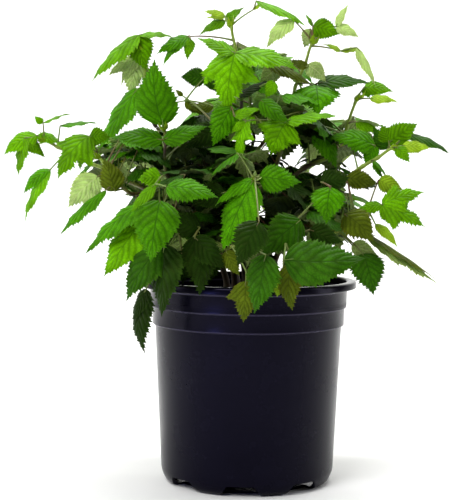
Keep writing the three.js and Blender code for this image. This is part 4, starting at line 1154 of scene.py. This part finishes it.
class BramblePotSettings(bpy.types.PropertyGroup):
    height: size_setting("Height", "Height of the pot in millimetres", 165.0)
    lip_radius: size_setting("Lip radius", "Outer radius of the lip in millimetres", 88.0)
    lip_wall: size_setting("Lip wall", "Thickness of the turned-down lip in millimetres", 1.6)
    segments: IntProperty(name="Segments", description="Faces round the pot", default=160, min=32)
    notches: IntProperty(name="Notches", description="Drainage notches round the foot", default=8)
    colour: colour_setting("Plastic", "Colour of the black plastic", "#070610")
    # Colour of the painted highlight along the lower edges of the bands
    band_highlight: colour_setting("Rubbed edge", "Colour of the bands' rubbed edges", "#3b3848")


class BrambleSoilSettings(bpy.types.PropertyGroup):
    top: size_setting("Top", "Height of the soil in millimetres", SOIL_TOP)
    chip_density: size_setting("Chip density", "Chips on a square metre of soil", 45000.0)
    chip_size: size_setting("Chip size", "Half length of the largest chip in millimetres", 2.6)
    dark: colour_setting("Dark", "Darkest tone of the mix", "#17110d")
    light: colour_setting("Light", "Lightest tone of the mix", "#4a3826")


class BrambleWoodSettings(bpy.types.PropertyGroup):
    cane_radius: size_setting("Cane radius", "Radius of a cane at the soil in millimetres", 2.5)
    lateral_radius: size_setting("Lateral radius", "Radius of a lateral's root in millimetres", 1.8)
    tip_radius: size_setting("Tip radius", "Radius where a limb enters its mass in millimetres", 1.4)
    stalk_radius: size_setting("Stalk radius", "Radius of a leaf stalk in millimetres", 0.84)
    node_step: size_setting("Node step", "Distance between cane nodes in millimetres", 24.0)
    brown: colour_setting("Brown", "Ripe cane", "#4e3718")
    green: colour_setting("Green", "Young cane", "#86a22a")
    stalk: colour_setting("Stalk", "Leaf stalk", "#647f28")
    flush: colour_setting("Flush", "Red flush on stalks", "#5e3a24")


class BrambleLeafSettings(bpy.types.PropertyGroup):
    fullness: size_setting("Fullness", "Rule leaves for each one in the solids", 2.2)
    shade_leaves: size_setting("Shade leaves", "Leaves along each cane inside the crown", 7.0)
    spacing: size_setting("Spacing", "Least distance between blade middles in millimetres", 9.0)
    thickness: size_setting("Thickness", "Thickness of a blade in millimetres", 0.35)
    teeth: IntProperty(name="Teeth", description="Large teeth along each margin", default=12)
    # The bright tone is partly painted light on the outer leaves, and the dark and deep tones are partly
    # painted shade inside the crown.
    bright: colour_setting("Bright", "Young outer leaves in the light", "#5a9402")
    mid: colour_setting("Mid", "Grown leaves", "#3f7b02")
    dark: colour_setting("Dark", "Old leaves", "#275206")
    deep: colour_setting("Deep", "Shaded leaves inside the crown", "#162d06")
    olive: colour_setting("Olive", "Ageing leaves", "#4b5a0e")
    young: colour_setting("Young", "Unfolding leaves", "#86a81e")
    underside: colour_setting("Underside", "Pale underside", "#94b25a")


class BrambleStageSettings(bpy.types.PropertyGroup):
    distance: size_setting("Distance", "Camera distance in millimetres", VIEW_DISTANCE)
    height: size_setting("Height", "Camera height in millimetres", VIEW_HEIGHT)
    lens: size_setting("Lens", "Focal length in millimetres", 96.9)
    dip: size_setting("Dip", "How far the camera looks down, in degrees", 3.45)
    turn: size_setting("Turn", "How far the camera is turned to the left, in degrees", 1.04)
    roll: size_setting("Roll", "How far the camera is tipped over, in degrees", 0.5)
    key: size_setting("Key light", "Power of the main light in watts", 25.0)
    fill: size_setting("Fill light", "Power of each side light in watts", 7.0)
    backdrop: size_setting("Backdrop light", "Power of the light on the backdrop in watts", 85.0)
    gleam: size_setting("Gleam light", "Power of the small cool light in watts", 2.0)
    floor: colour_setting("Floor", "Pale floor", "#f4f4f2")


# Operators

FOLIAGE = list(MASSES)
WOOD = [*CANES, *LATERALS]

# A notch in the pot's foot, from its middle outwards: half width and height, and its inner radius
NOTCH_HALF = [(-19, -4), (19, -4), (16.1, 0), (12.2, 6.6), (11.5, 7.9), (10.2, 8.7)]
NOTCH_INNER = 53
NOTCH_START = -94


class BRAMBLE_OT_pot(bpy.types.Operator):
    """Black nursery pot with a turned-down lip, two steps and a notched foot"""

    bl_idname = "bramble.pot"
    bl_label = "Nursery pot"

    def execute(self, context):
        pot = context.scene.bramble_pot
        obj = new_object("nursery_pot", revolve(self.profile(pot), pot.segments))
        cutter = new_object("notch_cutter", self.notches(pot.notches, pot.lip_radius))
        cut = obj.modifiers.new("drainage", "BOOLEAN")
        cut.object = cutter
        cut.operation = "DIFFERENCE"
        cut.solver = "EXACT"
        keep_mesh(obj, cut)
        bpy.data.objects.remove(cutter)
        smooth_by_angle(obj.data, 38)
        obj.data.materials.clear()
        obj.data.materials.append(moulded_polyethylene(pot))
        finish_piece(obj, ["pot"])
        return {"FINISHED"}

    @staticmethod
    def profile(pot):
        """The pot's section from the middle of its underside, up outside and down inside."""
        top, lip = pot.height, pot.lip_radius
        inner = lip - pot.lip_wall
        foot = [(0, 0), (62.4, 0), (63.6, 0.3), (66.2, 1.5), (67.6, 2.7), (68.9, 5.2), (70.0, 8.2)]
        wall = [(70.6, 11.4), (76.2, 127.3), (76.5, 128.3)]
        lower_step = [(77.1, 128.7), (77.9, 128.9), (78.3, 129.3), (78.3, 130.1)]
        upper_step = [(78.6, 142.6), (78.9, 143.2), (79.9, 143.5), (80.3, 143.9), (80.3, 144.8)]
        neck = [(80.6, 157.0), (80.9, 157.8), (81.5, 158.2), (82.1, 158.8), (82.3, top - 1.9)]
        lip_inside = [(inner, top - 1.9), (inner, top - 5.3), (inner + 0.4, top - 5.6)]
        lip_outside = [
            (lip - 0.4, top - 5.6), (lip, top - 5.2), (lip, top - 1.8), (lip - 0.25, top - 0.9),
            (lip - 0.9, top - 0.25), (lip - 1.8, top),
        ]
        mouth = [(81.6, top), (80.6, top - 0.3), (80.0, top - 1.0)]
        inside = [
            (79.4, 158.0), (77.2, 142.0), (74.8, 127.1), (69.0, 12.0), (66.2, 5.2), (61.6, 2.0), (0, 2.0),
        ]
        outside = foot + wall + lower_step + upper_step + neck
        return outside + lip_inside + lip_outside + mouth + inside

    @staticmethod
    def notches(count, reach):
        """Tapered blocks with rounded upper corners, all round the foot."""
        outline = NOTCH_HALF + [(-x, z) for x, z in reversed(NOTCH_HALF[2:])]
        bm = bmesh.new()
        for k in range(count):
            turn = Matrix.Rotation(math.radians(NOTCH_START + 360 * k / count), 4, "Z")
            near, far = (
                [bm.verts.new(turn @ (Vector((radius, x, z)) * MM)) for x, z in outline]
                for radius in (NOTCH_INNER, reach)
            )
            bm.faces.new(near)
            bm.faces.new(list(reversed(far)))
            for i in range(len(outline)):
                j = (i + 1) % len(outline)
                bm.faces.new((near[i], far[i], far[j], near[j]))
        return outward_mesh(bm, "notch_cutter")


# The mix's top, in millimetres: range of its crumbs, and how far it is sunk at its edge
CRUMBS = (-1.1, 0.6)
EDGE_SINK = 1.6
EDGE_RADIUS = 76


class BRAMBLE_OT_soil(bpy.types.Operator):
    """Potting mix with a crumbly, uneven top and bark chips"""

    bl_idname = "bramble.soil"
    bl_label = "Potting mix"

    def execute(self, context):
        soil = context.scene.bramble_soil
        top = soil.top
        plug = [(0, 9.6), (67.4, 9.6), (68.7, 12.0), (74.4, 129.0), (76.0, 142.0), (77.0, top - 1)]
        plug += [(radius, top) for radius in (75, 70, *range(63, 7, -7), 8, 3, 0)]
        obj = new_object("potting_mix", revolve(plug, 96))
        # Uneven by about a millimetre, and sunk where it meets the pot
        dice = random.Random(5)
        for vertex in obj.data.vertices:
            if vertex.co.z > (top - 0.5) * MM:
                radius = math.hypot(vertex.co.x, vertex.co.y) / MM
                sink = EDGE_SINK * (radius / EDGE_RADIUS) ** 4
                vertex.co.z += (dice.uniform(*CRUMBS) - sink) * MM
        smooth_by_angle(obj.data, 60)
        obj.data.materials.append(potting_mix(soil))
        finish_piece(obj, ["potting_soil"])

        bed = revolve([(0, top - 0.4), (74, top - 0.4), (0, top - 0.5)], 48)
        chips = new_object("bark_chips", bed)
        sizes = {"Smallest": 0.7 * MM, "Largest": soil.chip_size * MM}
        rule = {"Density": soil.chip_density, "Seed": 8, "Material": bark_chip(soil)}
        apply_tree(chips, crumb_tree(), sizes | rule)
        finish_piece(chips, ["potting_soil"])
        return {"FINISHED"}


# Canes: length of a step along them, the swelling and turn at a node, and the fade of the root flare
CANE_STEP = 1.6
NODE_SWELL = 0.28
NODE_LENGTH = 2.2
ZIGZAG = 0.9
FLARE_FADE = 6
CANE_FLARE = 1.8
LATERAL_FLARE = 0.9
SHOOT_END_RADIUS = 1.1
# Distance between a shoot's nodes as a share of a cane's
SHOOT_NODE_SHARE = 0.8


class BRAMBLE_OT_canes(bpy.types.Operator):
    """Canes, laterals and shoots with ridges, nodes and a slight zigzag"""

    bl_idname = "bramble.canes"
    bl_label = "Canes"

    def execute(self, context):
        wood = context.scene.bramble_wood
        limbs, shoots, _ = grow_plant(context.scene.bramble_leaves)
        tip = wood.tip_radius
        kinds = {
            True: (wood.cane_radius, CANE_FLARE, CANE_YOUTH),
            False: (wood.lateral_radius, LATERAL_FLARE, LATERAL_YOUTH),
        }
        lines = []
        for number, (name, path) in enumerate(limbs.items()):
            root, flare, youth = kinds[name in CANES]
            course = self.knotted(path, root, tip, flare, wood.node_step, number)
            lines.append((*course, YOUTH.get(name, youth)))
        for number, (name, path) in enumerate(shoots.items()):
            step = wood.node_step * SHOOT_NODE_SHARE
            course = self.knotted(path, tip, SHOOT_END_RADIUS, 0, step, number + 50)
            lines.append((*course, YOUTH.get(name, SHOOT_YOUTH)))
        obj = line_object("canes", lines)
        form = {"Sides": 15, "Ridges": 5.0, "Ridge height": 0.07, "Material": cane_bark(wood)}
        apply_tree(obj, skin_tree(), form)
        finish_piece(obj, WOOD)
        return {"FINISHED"}

    @staticmethod
    def knotted(path, root, tip, flare, node_step, seed):
        """Points and radii of a limb that swells and turns a little at each node."""
        length = path.length()
        count = max(12, int(length / CANE_STEP))
        dice = random.Random(seed)
        side = path.along(0.5).cross(Vector((0.3, 1, 0.2))).normalized()
        points, radii = [], []
        offset = dice.uniform(0.2, 0.9)
        for k in range(count + 1):
            t = k / count
            distance = t * length
            knot = distance / node_step + offset
            nearness = abs(knot - round(knot)) * node_step
            swell = NODE_SWELL * math.exp(-((nearness / NODE_LENGTH) ** 2))
            zigzag = ZIGZAG * (abs((knot / 2) % 1 - 0.5) * 4 - 1) * min(1, 6 * t, 6 * (1 - t))
            points.append(path.at(t) + side * zigzag)
            taper = root + (tip - root) * t
            radii.append(taper * (1 + swell) + flare * math.exp(-distance / FLARE_FADE))
        return points, radii


# Leaf stalks: steps along one, its taper, the swelling of its root and how fast that fades, and the
# radius of a rule leaf's as a share of a placed leaf's
STALK_STEPS = 10
STALK_TAPER = 0.3
STALK_SWELL = 0.5
SWELL_FADE = 1.2
RULE_STALK_RADIUS = 0.9
# A blade's own stalk: radii from the hub to the blade as shares of the leaf's, and its end inside
# the blade: how far along and above it, as shares of the blade's length, and its radius
BLADE_STALK = (0.68, 0.62, 0.55)
END_ALONG = 0.12
END_ABOVE = 0.03
END_RADIUS = 0.2


class BRAMBLE_OT_stalks(bpy.types.Operator):
    """Leaf stalks from the shoots to the hubs, and the small stalks of the blades"""

    bl_idname = "bramble.stalks"
    bl_label = "Leaf stalks"

    def execute(self, context):
        wood = context.scene.bramble_wood
        _, _, leaves = grow_plant(context.scene.bramble_leaves)
        steps = range(STALK_STEPS + 1)
        lines = []
        for leaf in leaves:
            radius = wood.stalk_radius * (1 if leaf.placed else RULE_STALK_RADIUS)
            points, radii = [], []
            for k in steps:
                share = 1 - STALK_TAPER * k / STALK_STEPS + STALK_SWELL * math.exp(-k * SWELL_FADE)
                points.append(leaf.stalk.at(k / STALK_STEPS))
                radii.append(radius * share)
            lines.append((points, radii, (1, 1)))
            hub = leaf.stalk.at(1)
            for blade in leaf.blades:
                along, above = END_ALONG * blade.length, END_ABOVE * blade.length
                end = blade.base + (blade.heading * along + blade.face * above)
                points = [hub, hub.lerp(blade.base, 0.5), blade.base, end]
                radii = [radius * share for share in BLADE_STALK]
                lines.append((points, [*radii, END_RADIUS], (1, 1)))
        obj = line_object("leaf_stalks", lines)
        form = {"Sides": 6, "Ridges": 0.0, "Ridge height": 0.0, "Material": leaf_stalk(wood)}
        apply_tree(obj, skin_tree(), form)
        finish_piece(obj, FOLIAGE)
        return {"FINISHED"}


# tone: the setting of its colour, colours of veins and margin, roughness, strength of the veins
LEAF_FINISH = {
    "bright": ("bright", "#356306", "#6a9a12", 0.5, 0.6),
    "mid": ("mid", "#1e4a06", "#447812", 0.5, 0.7),
    "dark": ("dark", "#163606", "#3a5c12", 0.5, 0.7),
    "deep": ("deep", "#0e2404", "#2e4a12", 0.5, 0.6),
    "olive": ("olive", "#2c3608", "#66641c", 0.5, 0.6),
    "young": ("young", "#5f8414", "#8c9c34", 0.5, 0.5),
    "pale": ("underside", "#c4d08a", "#b4c46c", 0.55, 0.6),
}
# Rows and columns of the coarse grid; the fine grid has four rows to a tooth
COARSE_GRID = (16, 2)
TUFT_GRID = (12, 2)
FINE_COLUMNS = 4
# A tuft: its leaves, their width as a share of their length, and the ranges of their spread, their
# length and how far below the shoot's end they leave it; only shoots that rise this much bear one
TUFT_LEAVES = 5
TUFT_WIDTH = 0.42
TUFT_SPREAD = (0.3, 0.9)
TUFT_LENGTH = (7, 12)
TUFT_DROP = (0.5, 3)
TUFT_RISE = 0.3
# Greatest tint of a leaf, and of a blade and a tuft's leaf beyond it
LEAF_TINT = 1
BLADE_TINT = 0.3
TUFT_TINT = 0.6
# Light that an underside among shaded leaves is left with
SHADED_SHARE = 0.3


class BRAMBLE_OT_leaves(bpy.types.Operator):
    """Serrated, veined and drooping leaf blades, one piece for each tone"""

    bl_idname = "bramble.leaves"
    bl_label = "Leaves"

    def execute(self, context):
        leaf_set = context.scene.bramble_leaves
        _, shoots, leaves = grow_plant(leaf_set)
        gathered = {tone: LeafMesh() for tone in LEAF_FINISH}
        dice = random.Random(77)
        for leaf in leaves:
            tint = dice.uniform(-LEAF_TINT, LEAF_TINT)
            for blade in leaf.blades:
                large = leaf.placed and blade.length > LARGE_BLADE
                grid = (4 * leaf_set.teeth, FINE_COLUMNS) if large else COARSE_GRID
                arrays = blade_arrays(blade, *grid, leaf_set.thickness, dice)
                gathered[leaf.tone].add(*arrays, tint + dice.uniform(-BLADE_TINT, BLADE_TINT))
        for shoot in shoots.values():
            if shoot.along(1).z > TUFT_RISE:
                self.add_tuft(gathered["young"], shoot, leaf_set.thickness, dice)
        pale = leaf_set.underside
        dim = [value * SHADED_SHARE for value in pale]
        lit = leaf_blade("leaf_underside_lit", pale, "#dfe5a6", "#b4c46c", 0.6, 0.5)
        shaded = leaf_blade("leaf_underside_shaded", dim, "#75874c", "#52663a", 0.6, 0.4)
        for tone, mesh in gathered.items():
            setting, *finish = LEAF_FINISH[tone]
            obj = new_object(f"leaves_{tone}", mesh.build(f"leaves_{tone}"))
            obj.data.materials.append(leaf_blade(f"leaf_{tone}", getattr(leaf_set, setting), *finish))
            obj.data.materials.append(shaded if tone in ("dark", "deep") else lit)
            finish_piece(obj, FOLIAGE)
        return {"FINISHED"}

    @staticmethod
    def add_tuft(mesh, shoot, thickness, dice):
        """A tuft of unfolding leaves at the end of a shoot."""
        along = shoot.along(1)
        side = along.cross(UP).normalized()
        for k in range(TUFT_LEAVES):
            out = Quaternion(along, k * GOLDEN_ANGLE) @ side
            heading = (along + out * dice.uniform(*TUFT_SPREAD)).normalized()
            face = (out - heading * heading.dot(out)).normalized()
            length = dice.uniform(*TUFT_LENGTH)
            base = shoot.at(1) - along * dice.uniform(*TUFT_DROP)
            blade = Blade(base, heading, face, length, length * TUFT_WIDTH, 0, 1)
            arrays = blade_arrays(blade, *TUFT_GRID, thickness, dice)
            mesh.add(*arrays, dice.uniform(-TUFT_TINT, TUFT_TINT))


# name: place, target and size in metres, the setting of its power and a share of it.
# The gleam is low and small: it only shows as a cool gleam on the pot's upright bands.
LIGHTS = {
    "key_light": ((-0.75, -1.25, 1.35), (0, 0, 0.22), (0.9, 0.9), "key", 1),
    "left_light": ((-1.3, -0.1, 0.5), (0, 0, 0.15), (0.5, 1.2), "fill", 1),
    "right_light": ((1.3, -0.1, 0.5), (0, 0, 0.15), (0.5, 1.2), "fill", 1),
    "top_light": ((0.1, 0.3, 1.5), (0, 0, 0.3), (1.0, 1.0), "fill", 1.6),
    "backdrop_light": ((0, 0.8, 2.2), (0, 2.4, 0.5), (3.0, 0.5), "backdrop", 1),
    "gleam_light": ((-0.67, -0.85, 0.06), (-0.03, -0.08, 0.14), (0.12, 0.16), "gleam", 1),
}
GLEAM_COLOUR = (0.3, 0.35, 1)
WORLD_STRENGTH = 0.06
# The paper sweep, in metres: front edge, start and radius of its curve, top and half width
SWEEP_FRONT = -3.0
SWEEP_BACK = 1.6
SWEEP_RADIUS = 0.8
SWEEP_TOP = 3.2
SWEEP_HALF = 3.5
SWEEP_STEPS = 12


class BRAMBLE_OT_stage(bpy.types.Operator):
    """Pale floor, soft lights and the camera"""

    bl_idname = "bramble.stage"
    bl_label = "Stage"

    def execute(self, context):
        scene = context.scene
        stage = scene.bramble_stage
        floor = new_object("studio_floor", self.sweep())
        floor.data.materials.append(seamless_paper(stage))
        for name, (place, target, size, setting, share) in LIGHTS.items():
            self.light(name, place, target, size, getattr(stage, setting) * share)
        bpy.data.lights["gleam_light"].color = GLEAM_COLOUR
        world = bpy.data.worlds.new("soft_white")
        world.use_nodes = True
        background = world.node_tree.nodes["Background"]
        background.inputs["Color"].default_value = (1, 1, 1, 1)
        background.inputs["Strength"].default_value = WORLD_STRENGTH
        scene.world = world
        scene.view_settings.view_transform = "Standard"

        data = bpy.data.cameras.new("camera")
        data.lens = stage.lens
        data.sensor_width = 36
        data.clip_start = 0.05
        camera = new_object("camera", data)
        camera.location = (0, -stage.distance * MM, stage.height * MM)
        camera.rotation_mode = "QUATERNION"
        pitch = Quaternion((1, 0, 0), math.radians(90 - stage.dip))
        yaw = Quaternion((0, 0, 1), math.radians(stage.turn))
        roll = Quaternion((0, 0, 1), math.radians(stage.roll))
        camera.rotation_quaternion = yaw @ pitch @ roll
        scene.camera = camera
        return {"FINISHED"}

    @staticmethod
    def sweep():
        """A floor that curves up behind into a backdrop."""
        section = [(SWEEP_FRONT, 0.0)]
        for k in range(SWEEP_STEPS + 1):
            turn = math.pi / 2 * k / SWEEP_STEPS
            reach = SWEEP_BACK + SWEEP_RADIUS * math.sin(turn)
            section.append((reach, SWEEP_RADIUS - SWEEP_RADIUS * math.cos(turn)))
        section.append((SWEEP_BACK + SWEEP_RADIUS, SWEEP_TOP))
        bm = bmesh.new()
        rows = [[bm.verts.new((x, y, z)) for x in (-SWEEP_HALF, SWEEP_HALF)] for y, z in section]
        for low, high in zip(rows, rows[1:]):
            bm.faces.new((low[0], low[1], high[1], high[0]))
        mesh = outward_mesh(bm, "studio_floor")
        mesh.shade_smooth()
        return mesh

    @staticmethod
    def light(name, place, target, size, power):
        data = bpy.data.lights.new(name, "AREA")
        data.shape = "RECTANGLE"
        data.size, data.size_y = size
        data.energy = power
        obj = new_object(name, data)
        obj.location = place
        aim = Vector(target) - Vector(place)
        obj.rotation_mode = "QUATERNION"
        obj.rotation_quaternion = aim.to_track_quat("-Z", "Y")


class BRAMBLE_PT_panel(bpy.types.Panel):
    """The bramble's pieces and settings"""

    bl_idname = "BRAMBLE_PT_panel"
    bl_label = "Bramble"
    bl_space_type = "VIEW_3D"
    bl_region_type = "UI"
    bl_category = "Bramble"

    def draw(self, context):
        for operator in OPERATORS:
            self.layout.operator(operator.bl_idname)
        for name in SETTINGS:
            box = self.layout.box()
            group = getattr(context.scene, name)
            for key in group.__annotations__:
                box.prop(group, key)


OPERATORS = [
    BRAMBLE_OT_pot,
    BRAMBLE_OT_soil,
    BRAMBLE_OT_canes,
    BRAMBLE_OT_stalks,
    BRAMBLE_OT_leaves,
    BRAMBLE_OT_stage,
]
SETTINGS = {
    "bramble_pot": BramblePotSettings,
    "bramble_soil": BrambleSoilSettings,
    "bramble_wood": BrambleWoodSettings,
    "bramble_leaves": BrambleLeafSettings,
    "bramble_stage": BrambleStageSettings,
}


def register():
    for name, group in SETTINGS.items():
        bpy.utils.register_class(group)
        setattr(bpy.types.Scene, name, PointerProperty(type=group))
    for operator in OPERATORS:
        bpy.utils.register_class(operator)
    bpy.utils.register_class(BRAMBLE_PT_panel)


def unregister():
    bpy.utils.unregister_class(BRAMBLE_PT_panel)
    for operator in reversed(OPERATORS):
        bpy.utils.unregister_class(operator)
    for name, group in SETTINGS.items():
        delattr(bpy.types.Scene, name)
        bpy.utils.unregister_class(group)


def main():
    register()
    bpy.ops.bramble.pot()
    bpy.ops.bramble.soil()
    bpy.ops.bramble.canes()
    bpy.ops.bramble.stalks()
    bpy.ops.bramble.leaves()
    bpy.ops.bramble.stage()
    bpy.context.view_layer.update()


if __name__ == "__main__":
    main()
